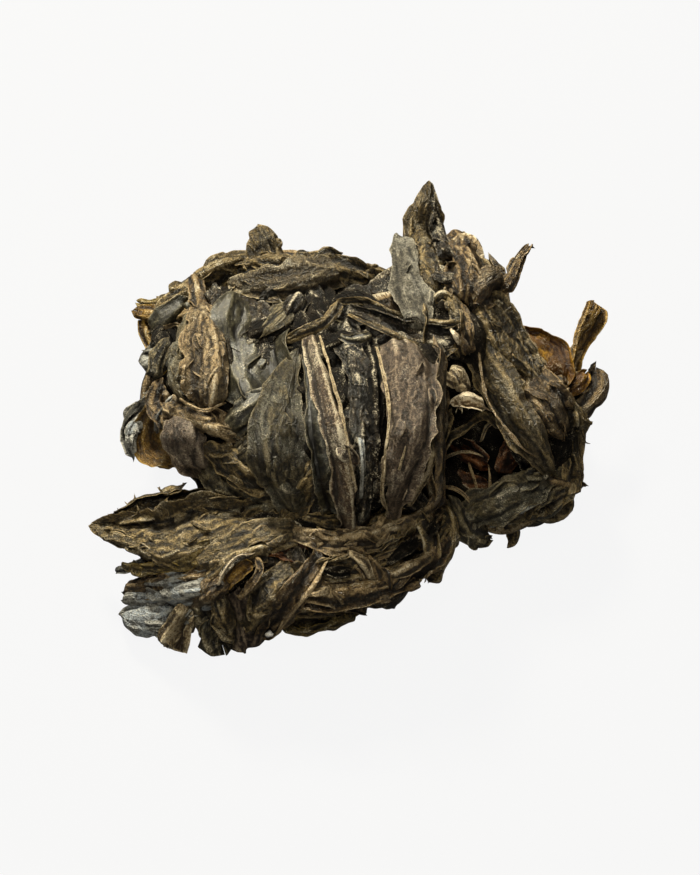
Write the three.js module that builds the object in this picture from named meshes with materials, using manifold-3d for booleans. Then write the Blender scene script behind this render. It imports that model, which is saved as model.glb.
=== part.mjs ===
// Dried wakame: one bundle of crumpled seaweed fronds that has dried into a single stiff wad.
// Millimetres, +Z up. The wad stands on the plane z = 0, and the middle of its box is on x = y = 0.
// The solid is the bundle out to its uneven outline: a rumpled bulk, and on it every larger frond, fold
// and tip as a pleated lobe that follows its own midline and is rooted in the bulk.
import * as THREE from "three";
import { mergeVertices } from "three/addons/utils/BufferGeometryUtils.js";
import Module from "manifold-3d";

const wasm = await Module();
wasm.setup();

// ---- driving dimensions ----
const boxMiddle = [0.16, -2.54]; // x and y of the bundle's box before it is brought to the origin
const lookedAt = new THREE.Vector3(0, 0, 35); // the point on which the view from the front is centred
const viewElevation = 60; // degrees above level from which that view looks down
const flapThickness = 3.6; // a stack of frond layers, where it stands free of the bulk
const edgeThickness = 1.2; // along a frond's edges
const rootDepth = 3; // how far a frond's root reaches into the bulk
const stationStep = 16; // spacing of a frond's cross-sections
const sectionSpans = 4; // spans across a frond's face, between which it is pleated
const pleatShare = 0.13; // height of a pleat, as a share of half the frond's width
const bulkSides = 40; // faces of the bulk around z
const bulkRings = 22; // and from its top to its base
const bulkCentre = new THREE.Vector3(0, 5, 24); // the bulk is worked out as distances from here
const joinTolerance = 0.02; // detail finer than this is dropped where solids are joined
// the bulk is rumpled by two crossing waves: its depth is a share of those distances, first and second say
// which way each wave runs and how often, and level is where its crests and dents balance
const rumples = { depth: 0.045, first: [9, 5, 0], second: [0, 8, -11], shift: 2, level: 0.8 };

// ---- the bundle's bulk: the outer hull of these lumps, less the hollow between the right-hand folds ----
const lumps = [
  { middle: [-20, 15.6, 26], size: [54, 52, 34] }, // the wad's left and middle
  { middle: [4, -0.6, 36], size: [30, 40, 30] }, // the mound where the fronds fan out
  { middle: [40, 38.7, 32], size: [24, 34, 34] }, // the crumpled blades at the back right
  { middle: [66, 11, 22], size: [20, 32, 24] }, // the long blades down the right side
  { middle: [57, -22, 13], size: [27, 17, 16] }, // the folds in front of the hollow
  { middle: [-22, -54, 17], size: [55, 26, 22] }, // the folded-back ends along the front
];
const hollow = { middle: [48, -12, 40], size: [16, 17, 27] };

// ---- the fronds that show from the front ----
// A station is [right, up, lift]: right and up across the view, and how far it is lifted off the bulk
// towards the view. half is half the width from base to tip, and curl is the bend of the section in degrees.
const fronds = {
  rearFold: {
    path: [[-45, 53, -2], [-31, 54, 0], [-18, 54, 1], [-2, 54, 1], [15, 54, 0]],
    half: [4, 6, 6, 6, 3.5], curl: 70,
  },
  hookedTip: {
    path: [[-23, 54, 0], [-26, 60, 3], [-30, 65, 5], [-35, 67, 5]],
    half: [5.5, 6.5, 5, 2], curl: 110,
  },
  saltedFold: {
    path: [[-44, 48, 3], [-31, 46, 6], [-14, 49, 7], [1, 53, 5]],
    half: [1.5, 5, 7, 3], curl: 60,
  },
  leftRuffle: {
    path: [[-76, 39, -1], [-70, 37, 2], [-62, 36, 3], [-55, 37, 3]],
    half: [2, 4.5, 4.5, 2], curl: 70,
  },
  leftLobe: {
    path: [[-57, 38, 5], [-53, 29, 9], [-52, 17, 11], [-50, 7, 9], [-50, 2, 5]],
    half: [3.5, 7.5, 9.5, 7, 3], curl: 110,
  },
  greyCorner: {
    path: [[-68, 10, 1], [-75, 5, 1], [-80, -4, 0], [-78, -13, -2]],
    half: [3, 4, 4, 1.5], curl: 40,
  },
  amberCorner: {
    path: [[-67, 4, 0], [-71, -4, 0], [-69, -12, -2], [-62, -17, -3]],
    half: [5, 6.5, 5, 3], curl: 30,
  },
  purpleLobe: {
    path: [[-56, 3, 4], [-58, -6, 8], [-56, -14, 6], [-52, -20, 2]],
    half: [5, 7, 6, 3], curl: 90,
  },
  leftSkirt: {
    path: [[-59, -13, 1], [-51, -19, 3], [-41, -25, 3], [-31, -27, 3], [-22, -26, 2]],
    half: [3.5, 5, 5, 4, 3], curl: 60,
  },
  fanFoldLeft: {
    path: [[-20, 11, 5], [-29, 6, 7], [-37, -1, 7], [-45, -9, 4]],
    half: [2, 4.5, 5, 2], curl: 80,
  },
  rolledRim: {
    path: [
      [-23, 26, 6], [-18, 29, 9], [-9, 31, 12], [-5, 39, 13], [-1, 41, 13],
      [6, 40, 14], [13, 35, 15], [22, 32, 15], [35, 30, 13],
    ],
    half: [1.5, 2, 2.5, 2.5, 3, 3, 4, 4.5, 4.5], curl: 150,
  },
  peakBlade: {
    path: [[-18, 24, 6], [-20, 10, 9], [-21, -4, 11], [-19, -18, 9], [-13, -35, 3]],
    half: [1.5, 5, 8, 8.5, 4], curl: 50,
  },
  midrib: {
    path: [[-14, 29, 11], [-9, 11, 14], [-5, -5, 15], [-2, -27, 12], [0, -39, 6]],
    half: [2.5, 3, 3.5, 3.5, 2.5], curl: 50,
  },
  darkFoldLeft: {
    path: [[-4, 29, 9], [1, 15, 11], [4, -1, 12], [5, -18, 11], [4, -39, 5]],
    half: [3, 4, 4, 3.5, 2], curl: 90,
  },
  tongue: {
    path: [[18, 24, 11], [21, 11, 15], [22, -3, 15], [20, -17, 13], [16, -32, 7], [15, -39, 4]],
    half: [5.5, 9, 9.5, 7.5, 4, 1], curl: 70,
  },
  peakHood: {
    path: [[27, 82, 14], [26, 74, 11], [26, 64, 6], [29, 54, 5], [31, 46, 4]],
    half: [2, 5, 8, 7.5, 5], curl: 120,
  },
  greyFinger: {
    path: [[18, 64, 2], [19, 54, 6], [20, 45, 8], [22, 33, 8]],
    half: [3, 5, 6, 4], curl: 80,
  },
  shoulder: {
    path: [[37, 61, 2], [40, 54, 4], [41, 46, 5], [41, 38, 4]],
    half: [4, 7, 8.5, 5.5], curl: 90,
  },
  twig: {
    path: [[50, 37, 4], [51, 46, 7], [55, 51, 8], [58, 55, 7], [62, 60, 6]],
    half: [4, 6, 3.5, 3, 1], curl: 110,
  },
  amberWeb: {
    path: [[57, 31, 0], [64, 26, -1], [71, 22, -2], [74, 15, -3]],
    half: [3.5, 5.5, 6.5, 3.5], curl: 30,
  },
  rolledTwig: {
    path: [[78, 10, 1], [80, 20, 3], [81, 27, 4], [82, 34, 5], [87, 40, 4]],
    half: [4, 3, 2.5, 4.5, 2], curl: 150,
  },
  rightLobe: {
    path: [[74, 3, 2], [82, 5, 4], [88, 10, 3], [88, 17, 1]],
    half: [4, 6.5, 5, 3], curl: 130,
  },
  longBlade: {
    path: [[42, 27, 8], [48, 13, 11], [55, -1, 11], [63, -11, 9], [71, -20, 5]],
    half: [3, 5, 6, 4.5, 2], curl: 70,
  },
  longBladeOuter: {
    path: [[54, 32, 4], [63, 18, 7], [70, 5, 7], [76, -9, 5]],
    half: [3.5, 6, 6.5, 5], curl: 80,
  },
  hollowArch: {
    path: [[31, -13, 2], [34, -7, 6], [40, -4, 8], [47, 1, 9], [52, -3, 8]],
    half: [2, 2.5, 2.5, 2, 2], curl: 110,
  },
  lowerRightBlade: {
    path: [[72, -21, 4], [62, -26, 6], [51, -31, 6], [40, -37, 4]],
    half: [2, 5, 6.5, 4.5], curl: 70,
  },
  fanLobe: {
    path: [[-91, -37, -4], [-80, -39, 1], [-66, -40, 5], [-49, -37, 7], [-33, -34, 7], [-20, -32, 5]],
    half: [0.5, 5, 9, 9, 6, 3], curl: 60,
  },
  silverUpper: {
    path: [[-78, -61, -3], [-68, -62, 1], [-57, -60, 3]],
    half: [2, 3.5, 4], curl: 60,
  },
  silverLower: {
    path: [[-81, -69, -4], [-74, -72, 0], [-65, -71, 3], [-55, -68, 4]],
    half: [2, 5, 6, 4], curl: 50,
  },
  tanFlap: {
    path: [[-55, -67, 4], [-61, -74, 3], [-66, -82, -1]],
    half: [2.5, 6, 2.5], curl: 50,
  },
  lobeBottomLeft: {
    path: [[-55, -62, 3], [-50, -72, 4], [-45, -81, -1]],
    half: [4, 7.5, 5], curl: 100,
  },
  lobeBottomRight: {
    path: [[-38, -63, 4], [-35, -72, 4], [-34, -81, -1]],
    half: [4.5, 7.5, 5.5], curl: 100,
  },
  diagonal: {
    path: [[-9, -46, 7], [-16, -57, 9], [-23, -66, 9], [-29, -75, 6], [-31, -81, 1]],
    half: [3, 4, 4.5, 4, 2], curl: 90,
  },
  oliveLobe: {
    path: [[-24, -74, 0], [-16, -73, 3], [-5, -72, 3], [3, -69, 1]],
    half: [2, 4.5, 4, 1.5], curl: 60,
  },
  bandTop: {
    path: [[-20, -40, 6], [-4, -44, 9], [9, -43, 10], [22, -38, 9], [32, -30, 7]],
    half: [3, 4, 4, 3.5, 2], curl: 100,
  },
  bandUpper: {
    path: [[-18, -51, 6], [-2, -52, 8], [13, -50, 9], [26, -44, 8], [34, -34, 5]],
    half: [3, 4, 4, 4, 2], curl: 90,
  },
  bandMiddle: {
    path: [[-18, -60, 5], [-3, -60, 7], [13, -58, 7], [27, -51, 6], [36, -41, 3]],
    half: [3, 4, 4, 4, 2.5], curl: 90,
  },
};

// ---- the far side, finished like what shows: fronds lie round it in rows, one above the other ----
const farBearings = [25, 65, 105, 145]; // where they start, in degrees from +X towards +Y
const farSpan = 48; // degrees from a far frond's base to its tip
const farHeights = [14, 31, 47];
const farRise = 7; // how far a far frond rises along its length, or falls in every other row
const farLift = 2.5;
const farHalf = [2.5, 8, 8, 2.5];
const farCurl = 80;

// The front view's own ways: right, up and towards the eye.
const tip = THREE.MathUtils.degToRad(viewElevation);
const viewRight = new THREE.Vector3(1, 0, 0);
const viewUp = new THREE.Vector3(0, Math.sin(tip), Math.cos(tip));
const viewEye = new THREE.Vector3(0, -Math.cos(tip), Math.sin(tip));

// How far along way from start a line leaves an ellipsoid, or enters it where sign is -1. Where the line
// misses the ellipsoid, distance is where it passes closest, and miss grows with how far off it passes.
function crossing(start, way, { middle, size }, sign = 1) {
  const scale = new THREE.Vector3(...size);
  const from = start.clone().sub(new THREE.Vector3(...middle)).divide(scale);
  const step = way.clone().divide(scale);
  const square = step.lengthSq();
  const closest = -from.dot(step) / square;
  const inside = closest ** 2 - (from.lengthSq() - 1) / square;
  if (inside < 0) return { miss: Math.sqrt(-inside), distance: closest };
  return { miss: 0, distance: closest + sign * Math.sqrt(inside) };
}

// A station of a midline: the point where a line leaves the bulk, or passes closest to it, lifted along the
// line. root is how deep a frond is there: down into the bulk, or a flap's thickness beside it.
function station(start, way, lift) {
  const crossings = lumps.map((lump) => crossing(start, way, lump));
  const leastMiss = Math.min(...crossings.map((one) => one.miss));
  const depths = crossings.filter((one) => one.miss === leastMiss).map((one) => one.distance);
  return {
    point: start.clone().addScaledVector(way, Math.max(...depths) + lift),
    root: leastMiss === 0 ? Math.max(flapThickness, lift + rootDepth) : flapThickness,
  };
}

// A station noted as [right, up, lift] across the front view.
function seen([right, up, lift]) {
  const start = lookedAt.clone().addScaledVector(viewRight, right).addScaledVector(viewUp, up);
  return station(start, viewEye, lift);
}

// A closed triangle mesh as a solid.
function solidOf(geometry) {
  geometry.deleteAttribute("normal");
  geometry.deleteAttribute("uv");
  const merged = mergeVertices(geometry, 1e-3);
  return new wasm.Manifold(
    new wasm.Mesh({
      numProp: 3,
      vertProperties: merged.attributes.position.array,
      triVerts: new Uint32Array(merged.index.array),
      tolerance: joinTolerance,
    }),
  );
}

// A solid as a mesh's geometry.
function geometryOf(solid) {
  const mesh = solid.getMesh();
  const geometry = new THREE.BufferGeometry();
  geometry.setAttribute("position", new THREE.BufferAttribute(mesh.vertProperties, mesh.numProp));
  geometry.setIndex(new THREE.BufferAttribute(mesh.triVerts, 1));
  geometry.computeVertexNormals();
  return geometry;
}

// The value at share t of a short list, eased between its entries.
function along(list, t) {
  const at = Math.min(t * (list.length - 1), list.length - 1 - 1e-9);
  const i = Math.floor(at);
  return THREE.MathUtils.lerp(list[i], list[i + 1], THREE.MathUtils.smoothstep(at - i, 0, 1));
}

// A frond: a lobe along a midline through stations. Its face looks towards eye, bends by curl from edge to
// edge and is pleated lengthwise. Underneath it reaches down to the bulk, and its edges are thin.
function frondSolid({ marks, half, curl, eye }) {
  const midline = new THREE.CatmullRomCurve3(marks.map((mark) => mark.point), false, "centripetal");
  const roots = marks.map((mark) => mark.root);
  const stations = Math.max(3, Math.round(midline.getLength() / stationStep));
  const bend = THREE.MathUtils.degToRad(curl) / 2;
  const ring = 2 * sectionSpans;
  const corners = [];
  const indices = [];
  for (let i = 0; i <= stations; i++) {
    const t = i / stations;
    const forward = midline.getTangent(t);
    const side = new THREE.Vector3().crossVectors(forward, eye).normalize();
    const out = new THREE.Vector3().crossVectors(side, forward).normalize();
    const width = along(half, t);
    const depth = along(roots, t);
    for (let k = 0; k < ring; k++) {
      const onTop = k <= sectionSpans;
      const across = onTop ? (2 * k) / sectionSpans - 1 : 3 - (2 * k) / sectionSpans;
      const inner = 1 - across ** 2;
      const reach = (width * Math.sin(bend * across)) / bend;
      const drop = (width * (1 - Math.cos(bend * across))) / bend;
      const pleat = (k % 2 ? -1 : 1) * pleatShare * width * Math.min(1, 2 * inner);
      const wall = onTop ? 0 : THREE.MathUtils.lerp(edgeThickness, depth, inner);
      const corner = midline.getPoint(t).addScaledVector(side, reach);
      corners.push(corner.addScaledVector(out, pleat - drop - wall));
    }
  }
  const last = stations * ring;
  for (let i = 0; i < stations; i++) {
    for (let k = 0; k < ring; k++) {
      const a = i * ring + k;
      const b = i * ring + ((k + 1) % ring);
      indices.push(a, b, a + ring, b, b + ring, a + ring);
    }
  }
  for (let k = 1; k < ring - 1; k++) {
    indices.push(0, k + 1, k);
    indices.push(last, last + k, last + k + 1);
  }
  const geometry = new THREE.BufferGeometry().setFromPoints(corners);
  geometry.setIndex(indices);
  return solidOf(geometry);
}

function frontFrond({ path, half, curl }) {
  return frondSolid({ marks: path.map(seen), half, curl, eye: viewEye });
}

// A far frond: along the bulk's outside from one bearing to the next, and up or down.
function farFrond(start, height, rise) {
  const shares = [0, 1 / 3, 2 / 3, 1];
  const wayAt = (share) => {
    const bearing = THREE.MathUtils.degToRad(start + share * farSpan);
    return new THREE.Vector3(Math.cos(bearing), Math.sin(bearing), 0);
  };
  const marks = shares.map((share) => {
    const axis = new THREE.Vector3(bulkCentre.x, bulkCentre.y, height + share * rise);
    return station(axis, wayAt(share), farLift);
  });
  return frondSolid({ marks, half: farHalf, curl: farCurl, eye: wayAt(0.5) });
}

// The bulk: from its centre, the distance to the furthest lump in each direction, but no further than the
// hollow, rumpled by crossing waves and cut flat where it lies on the table.
function bulkSolid() {
  const geometry = new THREE.SphereGeometry(1, bulkSides, bulkRings).rotateX(Math.PI / 2);
  const position = geometry.attributes.position;
  for (let i = 0; i < position.count; i++) {
    const way = new THREE.Vector3().fromBufferAttribute(position, i).normalize();
    const first = Math.sin(way.dot(new THREE.Vector3(...rumples.first)));
    const second = Math.sin(way.dot(new THREE.Vector3(...rumples.second)) + rumples.shift);
    const outside = station(bulkCentre, way, 0).point.distanceTo(bulkCentre);
    const opening = crossing(bulkCentre, way, hollow, -1);
    const distance = Math.min(
      outside * (1 + rumples.depth * (Math.abs(first + second) - rumples.level)),
      opening.miss === 0 && opening.distance > 0 ? opening.distance : Infinity,
      way.z < 0 ? bulkCentre.z / -way.z : Infinity,
    );
    const point = bulkCentre.clone().addScaledVector(way, distance);
    position.setXYZ(i, point.x, point.y, Math.abs(point.z) < 1e-4 ? 0 : point.z);
  }
  return solidOf(geometry);
}

function bundleSolid() {
  let solid = bulkSolid();
  for (const frond of Object.values(fronds)) solid = solid.add(frontFrond(frond));
  farHeights.forEach((height, row) => {
    const [shift, rise] = row % 2 ? [farSpan / 3, -farRise] : [0, farRise];
    for (const start of farBearings) solid = solid.add(farFrond(start - shift, height, rise));
  });
  const below = new THREE.BoxGeometry(400, 400, 100).translate(0, 0, -50);
  const bodies = solid.subtract(solidOf(below)).decompose();
  return bodies.sort((a, b) => b.volume() - a.volume())[0];
}

const bundle = new THREE.Mesh(
  geometryOf(bundleSolid()).translate(-boxMiddle[0], -boxMiddle[1], 0),
  new THREE.MeshStandardMaterial({ color: 0x4a4230, roughness: 0.62, metalness: 0 }),
);
bundle.name = "wakame_bundle";

const part = new THREE.Group();
part.add(bundle);

export default part;
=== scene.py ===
# Dried wakame: one wad of crumpled seaweed fronds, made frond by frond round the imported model.
# Shapes are worked out in millimetres and become metres when a mesh is made.
import math

import bpy
import numpy as np
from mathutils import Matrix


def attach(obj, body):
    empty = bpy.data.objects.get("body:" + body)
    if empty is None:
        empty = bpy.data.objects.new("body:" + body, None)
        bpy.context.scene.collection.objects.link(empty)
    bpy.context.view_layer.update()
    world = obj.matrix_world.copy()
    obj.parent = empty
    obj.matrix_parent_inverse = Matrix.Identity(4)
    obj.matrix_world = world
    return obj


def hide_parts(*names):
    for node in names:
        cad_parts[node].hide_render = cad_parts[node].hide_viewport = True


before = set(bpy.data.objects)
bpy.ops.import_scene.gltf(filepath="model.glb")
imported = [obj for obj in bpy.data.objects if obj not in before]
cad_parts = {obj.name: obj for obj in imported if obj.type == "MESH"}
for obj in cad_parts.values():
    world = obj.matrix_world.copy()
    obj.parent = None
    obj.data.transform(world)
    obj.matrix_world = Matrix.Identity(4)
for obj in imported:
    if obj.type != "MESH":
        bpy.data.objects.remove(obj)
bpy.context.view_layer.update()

perMetre = 1000

# ---- the view from the front ----
view = {
    "elevation": 60,  # degrees above level
    "middle": (-0.16, 2.54, 35),  # the middle of the wad as it is seen, mm
    "aimBelow": 7,  # the picture's middle is this far below it, mm
    "height": 306.25,  # what the picture's longer side takes in there, mm
    "lens": 150, "sensor": 36,  # mm
}
tilt = math.radians(view["elevation"])
viewRight = np.array([1, 0, 0.0])
viewUp = np.array([0, math.sin(tilt), math.cos(tilt)])
viewEye = np.array([0, -math.cos(tilt), math.sin(tilt)])
viewMiddle = np.array(view["middle"])

# ---- the bulk under the fronds: the outer hull of these lumps, less the hollow between the folds ----
lumps = {
    "leftAndMiddle": {"middle": (-20.16, 18.14, 26), "size": (51, 52, 34)},
    "mound": {"middle": (3.84, 1.94, 36), "size": (30, 40, 30)},
    "backRight": {"middle": (38.0, 41.24, 32), "size": (18.5, 32, 34)},
    "right": {"middle": (63.84, 14.54, 22), "size": (14, 28, 22)},
    "lowerRight": {"middle": (54.84, -14.9, 13), "size": (22, 12.5, 13)},
    "frontBand": {"middle": (-24.16, -46, 17), "size": (52, 19, 18)},
}
hollow = {"middle": (47.84, -9.46, 40), "size": (16, 17, 27)}
lumpMiddles = np.array([lump["middle"] for lump in lumps.values()], float)
lumpSizes = np.array([lump["size"] for lump in lumps.values()], float)
hollowMiddle, hollowSize = np.array(hollow["middle"]), np.array(hollow["size"])

# ---- how every frond is made ----
leaf = {
    "spacing": 0.5,  # mm between a frond's grid lines
    "columns": 2.3, "fewest": 9,  # lines across for each spacing in its half width, and at least
    "crowded": 0.45,  # how much they gather at the rim
    "thickness": 0.45, "sharp": 0.35,  # mm, and how far from the rim it is whole
    "above": 0.25,  # the lowest fronds end this far above the table, mm
    "roll": 16, "rollLength": 17,  # how far it leans to a side at most, degrees, changing over these mm
    "bend": 0.4, "leastBend": 8,  # how much of its curl is a round arc, and the least, degrees
    "bendVaries": 0.3, "bendLength": 13,  # by what share, over mm
    "ending": 0.3, "shortEnding": 3.0, "endWidths": 0.8,  # the ends' reach in lengths, mm and half widths
    "tip": 1.8, "tipWidth": 0.12,  # over how many mm the tips are rounded, and their half width
    "tuck": 3.0,  # how far the two ends bend down, mm
    "tornEnd": 0.5,  # how unevenly the ends are torn, as a share of half the width
    "endTears": (3.4, 2.1),  # their length at one end and the other, mm
    "ragged": 0.26,  # how unevenly the rim is torn, as a share of the width
    "tears": (1.6, 6.0),  # tears are as deep as on fronds of at least and at most these half widths, mm
    "narrowest": 0.3,  # and leave this share of the width
    "nicks": ((1.0, 9), (0.7, 3.9), (0.25, 1.7)),  # the tears' relative depth, and their length in mm
    "roof": 0.75, "roofCurl": 90,  # how steep the two sides of its crest are when it curls by these degrees
    "crestSoft": 0.002, "pleatSoft": 0.0006,  # how rounded the crest and the pleats are
    "crestVaries": 0.3, "crestLength": 14,  # how far the crest wanders aside, over mm
    "pleat": 0.36, "pleatSteep": (0.5, 1.4),  # how steep the sides of a pleat are, and by what it varies
    "pleatVaries": 0.3, "pleatLength": 22,  # how far a pleat wanders aside, over mm
    "pleatTurns": 0.7,  # and how far from end to end
    "ruffle": 0.9, "ruffleShare": 0.3,  # how far the rim waves, mm, and at most in half widths
    "ruffleLength": 7.5,  # over what length it does, mm
    "lip": 0.16, "lipWidth": 1.3,  # how far the rim turns up, and over what width, mm
    "rim": 0.9,  # how wide the rim's painted highlight is, mm
    "flatRim": 0.35,  # how much of the crumpling reaches the rim
    "reliefOver": 0.8,  # relief is the height over its mean this far round, mm
    "relief": 0.17,  # and 1 for the material when it is this, mm
    "swell": 1.0, "swellSize": (16, 9),  # broad swellings, mm
    "folds": ((2.0, 9, 3.2), (1.25, 4.4, 2.6), (0.6, 2.2, 1.9)),  # height and width in mm, length to width
    "foldsBend": 0.35, "foldsThere": (0.2, 1.3),  # how far folds bend, in widths, and how much of them shows
}


# Gradient noise: every corner of a lattice has a random slope, and between corners the slopes' ramps are
# blended with an eased weight. The result runs from about -1 to 1.
latticeSize = 256
latticeDraws = np.random.default_rng(11)
latticeOrder = np.tile(latticeDraws.permutation(latticeSize), 3)
latticeSlopes = latticeDraws.normal(size=(latticeSize, 3))
latticeSlopes /= np.linalg.norm(latticeSlopes, axis=1, keepdims=True)


# A lattice number inside the lattice, which starts over past its end.
def inLattice(number):
    return number & (latticeSize - 1)


def unevenness(x, y, z=0.0):
    x, y, z = np.broadcast_arrays(np.asarray(x, float), y, z)
    cellX, cellY, cellZ = np.floor(x), np.floor(y), np.floor(z)
    inX, inY, inZ = x - cellX, y - cellY, z - cellZ
    cellX, cellY, cellZ = (inLattice(cell.astype(int)) for cell in (cellX, cellY, cellZ))
    easeX, easeY, easeZ = (s * s * s * (s * (s * 6 - 15) + 10) for s in (inX, inY, inZ))
    total = np.zeros(x.shape)
    for stepX in (0, 1):
        shareX = easeX if stepX else 1 - easeX
        column = latticeOrder[inLattice(cellX + stepX)]
        for stepY in (0, 1):
            shareY = easeY if stepY else 1 - easeY
            row = latticeOrder[column + inLattice(cellY + stepY)]
            for stepZ in (0, 1):
                shareZ = easeZ if stepZ else 1 - easeZ
                slope = latticeSlopes[latticeOrder[row + inLattice(cellZ + stepZ)]]
                ramp = slope[..., 0] * (inX - stepX) + slope[..., 1] * (inY - stepY)
                total += shareX * shareY * shareZ * (ramp + slope[..., 2] * (inZ - stepZ))
    return 1.7 * total


# A line of straight stretches between random heights, -1 to 1, one for every whole number.
def jagged(at, place):
    cell = np.floor(at)
    ends = cell.astype(int)[..., None] + np.array([0, 1]) + place
    heights = latticeSlopes[:, 0][latticeOrder[inLattice(ends)]]
    return heights[..., 0] + (heights[..., 1] - heights[..., 0]) * (at - cell)


# Creases: 1 on sharp crests where the noise is nought, falling to about -1 in the rounded dips between.
def creases(x, y, z=0.0):
    return 1 - 2.6 * np.abs(unevenness(x, y, z)) ** 0.8


# Low pyramids of random turn at random places, one to a cell: each point takes the lowest of those around it,
# so flat facets meet in sharp creases. About 0 at the tips, 1 on the highest creases.
def facets(x, y, place):
    cellX, cellY = np.floor(x), np.floor(y)
    nearest = np.full(x.shape, np.inf)
    for stepX in (-1, 0, 1):
        for stepY in (-1, 0, 1):
            tipX, tipY = cellX + stepX, cellY + stepY
            pick = latticeOrder[inLattice(latticeOrder[inLattice(tipX.astype(int))] + tipY.astype(int))]
            pick = latticeOrder[inLattice(pick + place)]
            turnX, turnY = latticeSlopes[pick, 0], latticeSlopes[pick, 1]
            apartX = tipX + 0.5 + 0.45 * turnX - x
            apartY = tipY + 0.5 + 0.45 * turnY - y
            size = np.sqrt(turnX**2 + turnY**2) + 1e-6
            ahead = (apartX * turnX + apartY * turnY) / size
            aside = (apartY * turnX - apartX * turnY) / size
            nearest = np.minimum(nearest, np.abs(ahead) + 0.7 * np.abs(aside))
    return nearest


# A sheet that was crumpled: facets of several sizes, longer than wide, raised and sunk in turn, bent by noise
# and stronger in some places than in others. Each noise is read at a place of its own.
def crumpled(along, across, ownPlace, number):
    swellLong, swellWide = leaf["swellSize"]
    total = leaf["swell"] * unevenness(along / swellLong, across / swellWide, ownPlace + 2)
    for order, (rise, size, longer) in enumerate(leaf["folds"]):
        place = ownPlace + 7 * order
        bendX = leaf["foldsBend"] * unevenness(along / (2 * size), across / size, place)
        bendY = leaf["foldsBend"] * unevenness(along / (2 * size), across / size, place + 3)
        strength = unevenness(along / (3 * size), across / (2 * size), ownPlace + 5 * order + 40)
        there = np.clip(0.7 + 0.8 * strength, *leaf["foldsThere"])
        way = 1 if (order + number) % 2 else -1
        folded = facets(along / (longer * size) + bendX, across / size + bendY, 31 * number + order)
        total = total + way * rise * (folded - 0.5) * there
    return total


# Lines that start at offset from the middle of a ball of radius 1 and go along step: how far along each is
# closest to the middle, and the square of half its length inside the ball, which is below 0 if it misses.
def throughBall(offset, step):
    square = (step**2).sum(-1)
    closest = -(offset * step).sum(-1) / square
    return closest, closest**2 - ((offset**2).sum(-1) - 1) / square


# The square of the distance between such lines and the ball's middle.
def besideBall(offset, step):
    return (offset**2).sum(-1) - (offset * step).sum(-1) ** 2 / (step**2).sum(-1)


# The distance along way at which lines from starts leave the last of the lumps, or, where a line misses all
# of them, pass closest to the one that it misses least.
def leavesBulk(starts, way):
    offset = (starts[:, None] - lumpMiddles) / lumpSizes
    closest, inside = throughBall(offset, np.asarray(way)[..., None, :] / lumpSizes)
    missed = np.sqrt(np.maximum(-inside, 0))
    leaves = closest + np.sqrt(np.maximum(inside, 0))
    leaves[missed > missed.min(1, keepdims=True)] = -np.inf
    return leaves.max(1)


# The distance along ways at which lines from start enter the hollow, or infinity.
def entersHollow(start, ways):
    closest, inside = throughBall((start - hollowMiddle) / hollowSize, ways / hollowSize)
    enters = closest - np.sqrt(np.maximum(inside, 0))
    return np.where((inside > 0) & (enters > 0), enters, np.inf)


# Places noted as right and up across the front view, as points of its middle plane.
def inViewPlane(places):
    return viewMiddle + places[:, :1] * viewRight + places[:, 1:2] * viewUp


# Points as right and up across the front view.
def acrossView(points):
    return np.stack([(points - viewMiddle) @ viewRight, (points - viewMiddle) @ viewUp], axis=1)


# Stations noted as right and up across the front view and lifted towards the eye, as points on the bulk.
def seen(path):
    path = np.array(path, float)
    starts = inViewPlane(path)
    return starts + (leavesBulk(starts, viewEye) + path[:, 2])[:, None] * viewEye


# A smooth curve through points, with a sample every spacing: a cubic between each two points, whose slopes
# are those of the parabola through three neighbours. Also says at which share of the stations each lies.
def smoothLine(points, spacing):
    knots = np.append(0, np.cumsum(np.linalg.norm(np.diff(points, axis=0), axis=1) ** 0.5))
    slopes = np.gradient(points, knots, axis=0)
    at = np.linspace(0, knots[-1], 60 * len(points))
    low = np.clip(np.searchsorted(knots, at, side="right") - 1, 0, len(knots) - 2)
    gap = (knots[low + 1] - knots[low])[:, None]
    s = (at - knots[low])[:, None] / gap
    fine = (
        (1 + 2 * s) * (1 - s) ** 2 * points[low]
        + s * (1 - s) ** 2 * gap * slopes[low]
        + s * s * (3 - 2 * s) * points[low + 1]
        + s * s * (s - 1) * gap * slopes[low + 1]
    )
    length = np.append(0, np.cumsum(np.linalg.norm(np.diff(fine, axis=0), axis=1)))
    marks = np.linspace(0, length[-1], max(8, int(round(length[-1] / spacing))) + 1)
    line = np.stack([np.interp(marks, length, fine[:, k]) for k in range(3)], axis=1)
    share = np.interp(marks, length, (low + s[:, 0]) / (len(points) - 1))
    return line, marks, share


# A grid's values averaged over a square of reach cells each way: running sums along both directions.
def averaged(grid, reach):
    for axis in (0, 1):
        padding = [(0, 0), (0, 0)]
        padding[axis] = (reach + 1, reach)
        sums = np.cumsum(np.pad(grid, padding, mode="edge"), axis=axis)
        count = grid.shape[axis]
        high = np.take(sums, np.arange(2 * reach + 1, 2 * reach + 1 + count), axis=axis)
        grid = (high - np.take(sums, np.arange(count), axis=axis)) / (2 * reach + 1)
    return grid


# The unit normals of a grid of points: the cross product of its steps along and across.
def gridNormals(grid):
    along, across = np.gradient(grid, axis=0), np.gradient(grid, axis=1)
    normals = np.cross(across, along)
    return normals / np.maximum(np.linalg.norm(normals, axis=-1, keepdims=True), 1e-9)


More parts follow.
